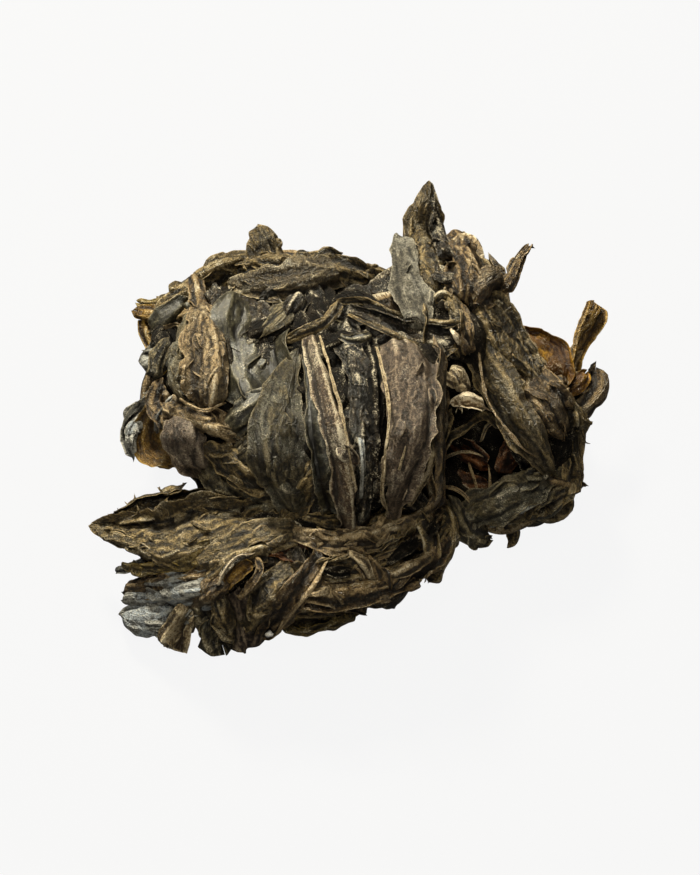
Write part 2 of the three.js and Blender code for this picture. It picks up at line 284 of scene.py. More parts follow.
# The directions of a midline, its side and its face. The face looks towards eye, turned by lean and noise.
def midlineFrame(line, marks, eye, lean, ownPlace):
    forward = np.gradient(line, axis=0)
    forward /= np.linalg.norm(forward, axis=1, keepdims=True)
    side = np.cross(forward, eye)
    side /= np.linalg.norm(side, axis=1, keepdims=True)
    out = np.cross(side, forward)
    lean = np.radians(lean + leaf["roll"] * unevenness(marks / leaf["rollLength"], ownPlace))[:, None]
    return forward, side * np.cos(lean) + out * np.sin(lean), out * np.cos(lean) - side * np.sin(lean)


# A frond's half width: rounded off at both ends, and torn along each edge by nicks of several lengths.
def tornWidth(half, across, marks, fromEnd, number):
    half = np.maximum(half * (1 - (1 - np.clip(fromEnd / leaf["tip"], 0, 1)) ** 2), leaf["tipWidth"])
    nicks = sum(depth * np.stack([jagged(marks / size, 40 * number + turn) for turn in (3, 17)])
                for depth, size in leaf["nicks"])
    tears = np.where(across < 0, nicks[0][:, None], nicks[1][:, None])
    ragged = leaf["ragged"] * np.abs(across) ** 2 * tears * np.clip(half, *leaf["tears"])[:, None]
    return half, np.maximum(half[:, None] + ragged, leaf["narrowest"] * half[:, None])


# The height of a frond's pleats: ridges and valleys in turn, each a line that wanders from end to end.
def pleated(count, across, down, half, ownPlace, draws):
    total = 0
    for order in range(count):
        at = draws.uniform(-0.85, 0.85)
        at = at + leaf["pleatVaries"] * unevenness(down / leaf["pleatLength"], 3.1 * order, ownPlace + 60)
        at = at + draws.uniform(-leaf["pleatTurns"], leaf["pleatTurns"]) * (down / down[-1] - 0.5)
        steep = leaf["pleat"] * draws.uniform(*leaf["pleatSteep"]) * (-1) ** order
        total = total + steep * half[:, None] * (0.45 - np.sqrt((across - at) ** 2 + leaf["pleatSoft"]))
    return total


# A frond as a thin closed shell. Its midline runs through points and its face looks towards eye. Across, the
# section is an arc that bends by curl and has one steep crest. Onto that come the pleats, the crumpled
# facets, and a rim that waves and is torn in straight nicks.
# The underside is the face moved inwards by the thickness, which falls to nothing at the rim.
def frondShell(points, eye, settings, number):
    spacing = settings.get("spacing", leaf["spacing"])
    draws = np.random.default_rng(number)
    line, marks, share = smoothLine(points, spacing)
    length = marks[-1]
    half = np.interp(share, np.linspace(0, 1, len(settings["half"])), settings["half"])
    widest = half.max()
    columns = max(leaf["fewest"], int(round(leaf["columns"] * widest / spacing)) + 1)
    across = np.linspace(-1, 1, columns)[None, :]
    across = (1 - leaf["crowded"]) * across + leaf["crowded"] * np.sin(math.pi / 2 * across)
    down = marks[:, None]
    ownPlace = 37.0 * number + 0.5  # where this frond reads the noise
    lean = settings.get("lean", draws.uniform(-1, 1) * leaf["roll"])
    forward, side, out = midlineFrame(line, marks, eye, lean, ownPlace)
    fromEnd = np.minimum(marks, length - marks)
    endReach = min(leaf["ending"] * length, max(leaf["shortEnding"], leaf["endWidths"] * widest))
    ending = np.clip(fromEnd / endReach, 0, 1)[:, None]
    half, width = tornWidth(half, across, marks, fromEnd, number)
    widest = half.max()
    # the section's arc
    curl = settings["curl"]
    bend = math.radians(max(leaf["bend"] * abs(curl), leaf["leastBend"])) / 2
    bend = bend * (1 + leaf["bendVaries"] * unevenness(down / leaf["bendLength"], 9.5, ownPlace))
    turned = bend * across
    reach = width * np.sin(turned) / bend
    drop = np.sign(curl) * width * (1 - np.cos(turned)) / bend
    # the face's height over that arc
    acrossMm = width * across
    downMm = down + 0 * acrossMm
    crestAt = settings.get("crest", draws.uniform(-0.5, 0.5))
    crestAt = crestAt + leaf["crestVaries"] * unevenness(down / leaf["crestLength"], 3.3, ownPlace)
    roof = 0.5 - np.sqrt((across - crestAt) ** 2 + leaf["crestSoft"]) / (1 + np.abs(crestAt))
    roof = leaf["roof"] * abs(curl) / leaf["roofCurl"] * half[:, None] * roof
    shoulder = np.clip(2.2 * (1 - np.abs(across)), 0, 1) * np.clip(1.6 * ending, 0, 1)
    height = pleated(settings["pleats"] + 2, across, down, half, ownPlace, draws)
    height = settings.get("pleat", 1.0) * height * shoulder
    crumple = settings.get("crumple", 1.0) * crumpled(downMm, acrossMm, ownPlace, number)
    height = height + crumple * (leaf["flatRim"] + (1 - leaf["flatRim"]) * shoulder)
    waving = unevenness(down / leaf["ruffleLength"], np.sign(across) * 3, ownPlace + 5)
    ruffle = min(leaf["ruffle"], leaf["ruffleShare"] * widest) * waving * np.abs(across) ** 3
    inset = np.minimum(fromEnd[:, None], width * (1 - np.abs(across)))
    lip = leaf["lip"] * np.clip(1 - inset / leaf["lipWidth"], 0, 1) ** 2
    relief = height + lip - averaged(height, max(1, int(round(leaf["reliefOver"] / spacing))))
    bendSign = 1 if curl > 0 else -1
    height = height + bendSign * roof
    baseNicks, tipNicks = (
        jagged(across * widest / size, 40 * number + turn) for size, turn in zip(leaf["endTears"], (5, 29))
    )
    torn = settings.get("torn", leaf["tornEnd"]) * widest * np.where(down < length / 2, baseNicks, tipNicks)
    # both faces
    tuck = -leaf["tuck"] * (1 - ending) ** 2
    normal = out[:, None] * np.cos(turned)[..., None] + side[:, None] * bendSign * np.sin(turned)[..., None]
    top = line[:, None] + side[:, None] * reach[..., None] + out[:, None] * (tuck - drop)[..., None]
    top = top + normal * (height + ruffle + lip)[..., None]
    top = top + forward[:, None] * (torn * (1 - ending) ** 2)[..., None]
    top[..., 2] = np.maximum(top[..., 2], leaf["above"] + leaf["thickness"])
    normals = gridNormals(top)
    under = top - normals * (leaf["thickness"] * np.clip(inset / leaf["sharp"], 0, 1))[..., None]
    under[..., 2] = np.maximum(under[..., 2], leaf["above"])
    under[[0, -1]] = top[[0, -1]]
    under[:, [0, -1]] = top[:, [0, -1]]
    return {
        "top": top,
        "under": under,
        "relief": relief / leaf["relief"],
        "rim": np.clip(1 - inset / leaf["rim"], 0, 1),
        "tint": np.full(relief.shape, draws.uniform(-1, 1)),
        "grain": np.stack([downMm, acrossMm, np.full(relief.shape, ownPlace)], axis=-1),
        "normals": normals,
    }


# A mesh with the values that its material reads, one row for each vertex, and smooth faces.
def withValues(mesh, values):
    for key, listed in values.items():
        kind, field = ("FLOAT_VECTOR", "vector") if key == "grain" else ("FLOAT", "value")
        mesh.attributes.new(key, kind, "POINT").data.foreach_set(field, np.ravel(listed))
    mesh.polygons.foreach_set("use_smooth", np.ones(len(mesh.polygons), bool))
    mesh.validate()
    return mesh


# Shells joined into one mesh. Each has two charts in the bake's map, its face above and its underside below,
# in a square of its own.
def meshOf(name, shells):
    places, faces, corners = [], [], []
    values = {key: [] for key in ("relief", "rim", "tint", "grain")}
    squares = math.ceil(math.sqrt(len(shells)))
    first = 0
    for number, shell in enumerate(shells):
        top, under = shell["top"], shell["under"]
        rows, columns = top.shape[:2]
        face = np.arange(rows * columns).reshape(rows, columns)
        inner = face.copy()
        inner[1:-1, 1:-1] = rows * columns + np.arange((rows - 2) * (columns - 2)).reshape(rows - 2, -1)
        places += [top.reshape(-1, 3), under[1:-1, 1:-1].reshape(-1, 3)]
        for key, listed in values.items():
            flip = -1 if key == "relief" else 1  # what stands up on the face is a dip below
            listed += [shell[key].ravel(), flip * shell[key][1:-1, 1:-1].ravel()]
        u, v = np.meshgrid(np.linspace(0.02, 0.98, rows), np.linspace(0.02, 0.48, columns), indexing="ij")
        cell = np.array([number % squares, number // squares])
        ring = (np.s_[:-1, :-1], np.s_[:-1, 1:], np.s_[1:, 1:], np.s_[1:, :-1])
        for grid, raised, order in ((face, 0.5, (0, 1, 2, 3)), (inner, 0.0, (3, 2, 1, 0))):
            faces.append(first + np.stack([grid[ring[k]].ravel() for k in order], axis=1))
            chart = np.stack([u, v + raised], axis=-1)
            laid = np.stack([chart[ring[k]].reshape(-1, 2) for k in order], axis=1)
            corners.append((laid + cell) / squares)
        first += rows * columns + (rows - 2) * (columns - 2)
    places = np.concatenate(places) / perMetre
    faces = np.concatenate(faces)
    mesh = bpy.data.meshes.new(name)
    mesh.vertices.add(len(places))
    mesh.vertices.foreach_set("co", places.ravel())
    mesh.loops.add(faces.size)
    mesh.loops.foreach_set("vertex_index", faces.ravel())
    mesh.polygons.add(len(faces))
    mesh.polygons.foreach_set("loop_start", np.arange(0, faces.size, 4))
    mesh.update(calc_edges=True)
    mesh.uv_layers.new(name="OFBake").data.foreach_set("uv", np.concatenate(corners).ravel())
    return withValues(mesh, {key: np.concatenate(listed) for key, listed in values.items()})


triangleCount = 0


# A finished piece: it rides on the wad's one body, stands for its solid and has its finish.
def addPiece(name, mesh, look):
    global triangleCount
    piece = bpy.data.objects.new(name, mesh)
    bpy.context.scene.collection.objects.link(piece)
    mesh.materials.append(materials[look])
    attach(piece, "root")
    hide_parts("wakame_bundle")
    triangleCount += len(mesh.loops) - 2 * len(mesh.polygons)


# ---- materials ----
# A node's output. Sums on it add Math nodes, and add() makes any other node.
class Wire:
    def __init__(self, tree, socket=None):
        self.tree = tree
        self.socket = socket

    def add(self, kind, settings, inputs, output=0):
        node = self.tree.nodes.new(kind)
        for key, value in settings.items():
            setattr(node, key, value)
        for key, value in inputs.items():
            if isinstance(value, Wire):
                self.tree.links.new(value.socket, node.inputs[key])
            else:
                node.inputs[key].default_value = value
        return Wire(self.tree, node.outputs[output] if node.outputs else None)

    def maths(self, operation, first, second):
        return self.add("ShaderNodeMath", {"operation": operation}, {0: first, 1: second})

    def __add__(self, other):
        return self.maths("ADD", self, other)

    def __sub__(self, other):
        return self.maths("SUBTRACT", self, other)

    def __rsub__(self, other):
        return self.maths("SUBTRACT", other, self)

    def __mul__(self, other):
        return self.maths("MULTIPLY", self, other)

    __radd__ = __add__
    __rmul__ = __mul__

    def attribute(self, name, output):
        return self.add("ShaderNodeAttribute", {"attribute_name": name}, {}, output)

    # 0 below low, 1 above high, and an eased step between
    def between(self, low, high):
        settings = {"interpolation_type": "SMOOTHSTEP"}
        return self.add("ShaderNodeMapRange", settings, {"Value": self, "From Min": low, "From Max": high})

    # a mix: the colour first, and second where this is 1
    def mixed(self, first, second):
        return self.add("ShaderNodeMix", {"data_type": "RGBA"}, {0: self, 6: first, 7: second}, 2)

    def vectorMaths(self, operation, first, second):
        return self.add("ShaderNodeVectorMath", {"operation": operation}, {0: first, 1: second})

    # moved by a noise of its own, so that straight patterns bend
    def warped(self, amount, scale):
        push = self.add("ShaderNodeTexNoise", {}, {"Vector": self, "Scale": scale, "Detail": 2.0}, "Color")
        return self.vectorMaths("ADD", self, self.vectorMaths("MULTIPLY", push, (amount, amount, 0)))

    # a noise read at this place, which may be stretched first
    def noise(self, scale, detail, rough, warp=0.0, stretch=None):
        at = self.vectorMaths("MULTIPLY", self, stretch) if stretch else self
        inputs = {"Vector": at, "Scale": scale, "Detail": detail, "Roughness": rough, "Distortion": warp}
        return self.add("ShaderNodeTexNoise", {}, inputs, "Fac")


# A colour as it is read off a screen, 0 to 255, for a shader: each part s is s / 12.92 when it is small, else
# ((s + 0.055) / 1.055) to the power of 2.4.
def screenColour(*parts):
    parts = [part / 255 for part in parts]
    return (*(s / 12.92 if s <= 0.04045 else ((s + 0.055) / 1.055) ** 2.4 for s in parts), 1.0)


# what dry seaweed has everywhere
dried = {
    # scale per mm, detail, roughness, warp and stretch of each noise, read in the frond's own millimetres
    "blotches": (0.11, 3, 0.55, 0.6), "mottle": (0.75, 4, 0.7), "grit": (2.1, 4, 0.75),
    "fibres": (1.0, 4, 0.6, 0.5, (0.3, 1.7, 1)),
    "cracks": 0.34, "crackWidth": 0.09, "crackStretch": (0.65, 1.2, 1), "crackWarp": (3.2, 0.3),
    # how much each counts in how dark or pale a spot is; the relief's share paints shade in dips and a
    # highlight on crests
    "uneven": {"relief": 1.2, "mottle": 3.4, "grit": 4.4, "blotches": 1.8},
    "bodyFrom": (-1.0, 0.6), "paleAndHighlightFrom": (0.1, 1.4),  # from which sum the body's colour shows, and the crest's pale colour with its painted highlight
    "linesFrom": (-0.6, 0.5),  # from which relief the fine lines do
    "bloomFrom": (0.5, 0.66), "bloomTint": 0.09,  # where the grey bloom lies, and how fronds differ in it
    "pits": (0.03, 0.12), "pitShare": 0.75,  # dark pits in the grit
    "salt": (206, 196, 172), "saltShare": 0.8,  # colour on a screen, 0 to 255
    "height": {"fibres": 0.5, "grit": 0.55, "mottle": 0.9}, "bumpDistance": 0.0012,  # shares of the bump, m
}
# what a finish has unless it says otherwise
usual = {
    "fine": 1.0, "fibres": 1.6, "lines": 0.35, "crestPaleAndHighlightShare": 0.85, "bloomShare": 0.5, "paintedRimLightShare": 0.5,
    "saltFrom": (0.64, 0.74), "rough": 0.4, "bump": 0.9, "shine": 0.5,
}


# Dry seaweed. Dips are darker and crests paler by the relief that each frond keeps, as painted shade and a
# painted highlight over spots of its own darker and paler tone. Thin rims get a painted highlight, a grey
# bloom lies in blotches, and salt sits on crests as fine grit. Fine wrinkles run lengthwise, in the frond's
# own millimetres.
def seaweed(name, finish):
    finish = {**usual, **finish}
    colours = ("darkAndDipShade", "body", "crest", "rim", "bloom")
    darkAndDipShade, body, crest, paintedRimLight, bloom = (screenColour(*finish[key]) for key in colours)
    material = bpy.data.materials.new(name)
    material.use_nodes = True
    tree = material.node_tree
    tree.nodes.clear()
    start = Wire(tree)
    relief, rim, tint = (start.attribute(key, "Fac") for key in ("relief", "rim", "tint"))
    grain = start.attribute("grain", "Vector")
    noises = ("blotches", "mottle", "fibres", "grit")
    blotches, mottle, fibres, grit = (grain.noise(*dried[key]) for key in noises)
    cracked = grain.vectorMaths("MULTIPLY", grain, dried["crackStretch"]).warped(*dried["crackWarp"])
    cells = {"Vector": cracked, "Scale": dried["cracks"]}
    edges = cracked.add("ShaderNodeTexVoronoi", {"feature": "DISTANCE_TO_EDGE"}, cells, "Distance")
    lines = 1 - edges.between(0.0, dried["crackWidth"])
    weights = dried["uneven"]
    fine = (grit - 0.5) * weights["grit"] + (fibres - 0.5) * finish["fibres"]
    # relief darkens dips as painted shade and pales crests as a painted highlight; the noises add the frond's
    # own darker and paler spots
    uneven = relief * weights["relief"] + (mottle - 0.5) * weights["mottle"] + fine * finish["fine"]
    uneven = uneven + (blotches - 0.5) * weights["blotches"]
    raised = uneven.between(*dried["bodyFrom"])
    colour = raised.mixed(darkAndDipShade, body)
    # the crest colour: pale tone and a painted highlight on raised places
    pale = uneven.between(*dried["paleAndHighlightFrom"]) + lines * relief.between(*dried["linesFrom"]) * finish["lines"]
    colour = (pale * finish["crestPaleAndHighlightShare"]).mixed(colour, crest)
    bloomed = (blotches + tint * dried["bloomTint"] + (mottle - 0.5) * 0.25).between(*dried["bloomFrom"])
    bloomed = bloomed * finish["bloomShare"]
    colour = (bloomed * raised).mixed(colour, bloom)
    # a painted highlight along thin rims: light caught on the edge and shining through it
    paintedRimLightMask = (rim + (mottle - 0.5) * 1.2).between(0.6, 0.95) * blotches.between(0.3, 0.6) * finish["paintedRimLightShare"]
    colour = paintedRimLightMask.mixed(colour, paintedRimLight)
    colour = ((0.5 - grit).between(*dried["pits"]) * dried["pitShare"]).mixed(colour, darkAndDipShade)
    salted = (grit + relief * 0.07 + (blotches - 0.5) * 0.5).between(*finish["saltFrom"])
    colour = (salted * dried["saltShare"]).mixed(colour, screenColour(*dried["salt"]))
    rough = finish["rough"] + (mottle - 0.5) * 0.4 + salted * 0.3 - bloomed * 0.08
    shares = dried["height"]
    height = fibres * shares["fibres"] + grit * shares["grit"] + mottle * shares["mottle"]
    height = height + lines * finish["lines"]
    bumps = {"Height": height, "Strength": finish["bump"], "Distance": dried["bumpDistance"]}
    bump = start.add("ShaderNodeBump", {}, bumps)
    sockets = {"Base Color": colour, "Roughness": rough, "Normal": bump}
    shader = start.add("ShaderNodeBsdfPrincipled", {}, {**sockets, "Specular IOR Level": finish["shine"]})
    start.add("ShaderNodeOutputMaterial", {}, {"Surface": shader})
    return material


# The looks that fronds have: the colours of dips (dark spots and painted shade), faces, crests (pale spots
# and a painted highlight), rims (a painted highlight) and the bloom as read off a screen, 0 to 255, and what
# differs from the usual.
finishes = {
    "olive": dict(darkAndDipShade=(15, 11, 6), body=(74, 62, 38), crest=(146, 127, 88), rim=(158, 134, 90),
        bloom=(92, 88, 76)),
    "brown": dict(darkAndDipShade=(16, 11, 6), body=(68, 53, 34), crest=(142, 120, 84), rim=(146, 120, 80),
        bloom=(94, 86, 72)),
    "tan": dict(darkAndDipShade=(34, 26, 16), body=(104, 87, 60), crest=(172, 150, 114), rim=(158, 132, 92),
        bloom=(124, 116, 98), bloomShare=0.3),
    "grey": dict(darkAndDipShade=(16, 14, 11), body=(70, 63, 45), crest=(132, 120, 90), rim=(140, 124, 92),
        bloom=(88, 89, 82), bloomShare=0.6, rough=0.42, fibres=0.8, crestPaleAndHighlightShare=0.6),
    "silver": dict(darkAndDipShade=(44, 43, 42), body=(120, 119, 114), crest=(178, 178, 172), rim=(176, 168, 148),
        bloom=(150, 159, 168), bloomShare=0.85, rough=0.45, crestPaleAndHighlightShare=0.7),
    # amber: the thin sheet's own tone, partly painted light shining through it
    "amber": dict(darkAndDipShade=(38, 24, 8), body=(98, 72, 26), crest=(158, 126, 62), rim=(170, 136, 44),
        bloom=(96, 84, 56), bloomShare=0.35, paintedRimLightShare=0.9),
    "yellow": dict(darkAndDipShade=(24, 18, 7), body=(82, 69, 36), crest=(142, 122, 72), rim=(170, 142, 52),
        bloom=(92, 86, 66), bloomShare=0.4, paintedRimLightShare=0.8),
    # dark: dark brown seaweed, darkened further as painted shade where it lies in gaps and deep folds
    "dark": dict(darkAndDipShade=(5, 4, 2), body=(24, 19, 13), crest=(78, 66, 48), rim=(80, 66, 46), bloom=(48, 50, 50),
        rough=0.34, crestPaleAndHighlightShare=0.5, saltFrom=(0.6, 0.7)),
    "midrib": dict(darkAndDipShade=(28, 19, 12), body=(72, 54, 38), crest=(150, 132, 106), rim=(150, 128, 96),
        bloom=(120, 112, 100), fibres=2.4, saltFrom=(0.54, 0.66), lines=0.1),
    "salted": dict(darkAndDipShade=(20, 15, 10), body=(82, 70, 49), crest=(156, 141, 110), rim=(134, 116, 78),
        bloom=(122, 120, 110), bloomShare=0.7, saltFrom=(0.6, 0.7)),
    "ash": dict(darkAndDipShade=(32, 30, 25), body=(98, 93, 80), crest=(166, 160, 144), rim=(168, 160, 138),
        bloom=(124, 123, 116), rough=0.5, crestPaleAndHighlightShare=0.75, fibres=1.0, fine=0.7, lines=0.15),
    # glow: amber of a thin sheet, partly its own tone and partly painted light shining through it
    "glow": dict(darkAndDipShade=(44, 20, 5), body=(122, 84, 10), crest=(164, 122, 24), rim=(166, 124, 32),
        bloom=(58, 27, 8), bloomShare=0.8, bump=0.7, fine=0.8, lines=0.3),
    "cream": dict(darkAndDipShade=(84, 66, 44), body=(172, 153, 122), crest=(220, 207, 182), rim=(216, 198, 166),
        bloom=(200, 190, 170), rough=0.6, fibres=2.0),
    "salt": dict(darkAndDipShade=(150, 148, 150), body=(214, 212, 214), crest=(240, 240, 242), rim=(236, 236, 240),
        bloom=(214, 216, 224), rough=0.5),
    "plum": dict(darkAndDipShade=(26, 20, 15), body=(91, 77, 64), crest=(146, 130, 110), rim=(176, 156, 122),
        bloom=(112, 103, 94), lines=0.12, fibres=1.0),
    "blue": dict(darkAndDipShade=(14, 13, 12), body=(50, 47, 35), crest=(100, 95, 76), rim=(130, 114, 82),
        bloom=(72, 76, 77), bloomShare=0.6, rough=0.38, fibres=0.8, crestPaleAndHighlightShare=0.55, lines=0.15, bump=0.35),
    "pale": dict(darkAndDipShade=(44, 33, 20), body=(128, 110, 80), crest=(196, 178, 144), rim=(196, 174, 134),
        bloom=(150, 138, 116), bloomShare=0.3, saltFrom=(0.6, 0.72)),
    # shade: near black, painted shade for the bulk, the gaps and the pockets between the folds
    "shade": dict(darkAndDipShade=(5, 4, 3), body=(15, 12, 9), crest=(46, 39, 29), rim=(40, 34, 24), bloom=(30, 28, 24),
        bloomShare=0.3, crestPaleAndHighlightShare=0.6, shine=0.15, rough=0.6),
    "red": dict(darkAndDipShade=(14, 6, 3), body=(62, 30, 14), crest=(124, 78, 42), rim=(140, 92, 46),
        bloom=(76, 58, 42), bloomShare=0.3),
}
materials = {name: seaweed("dried_" + name, finish) for name, finish in finishes.items()}
print("materials made:", len(materials))


# A row of the table below. A station of the path is right and up across the view and the lift off the bulk
# towards the eye; half is half the width from base to tip; all in mm. curl is the bend of its section in
# degrees, and pleats how many run along it. lean turns it to a side, in degrees, and crest says where its
# crest runs, from -1 to 1 across. pleat and crumple scale its relief, torn is how unevenly its ends are torn,
# as a share of half the width, and few small folds lie on plain ones.
def front(look, curl, pleats, half, *path, **more):
    return {"look": look, "curl": curl, "pleats": pleats, "half": half, "path": path, **more}


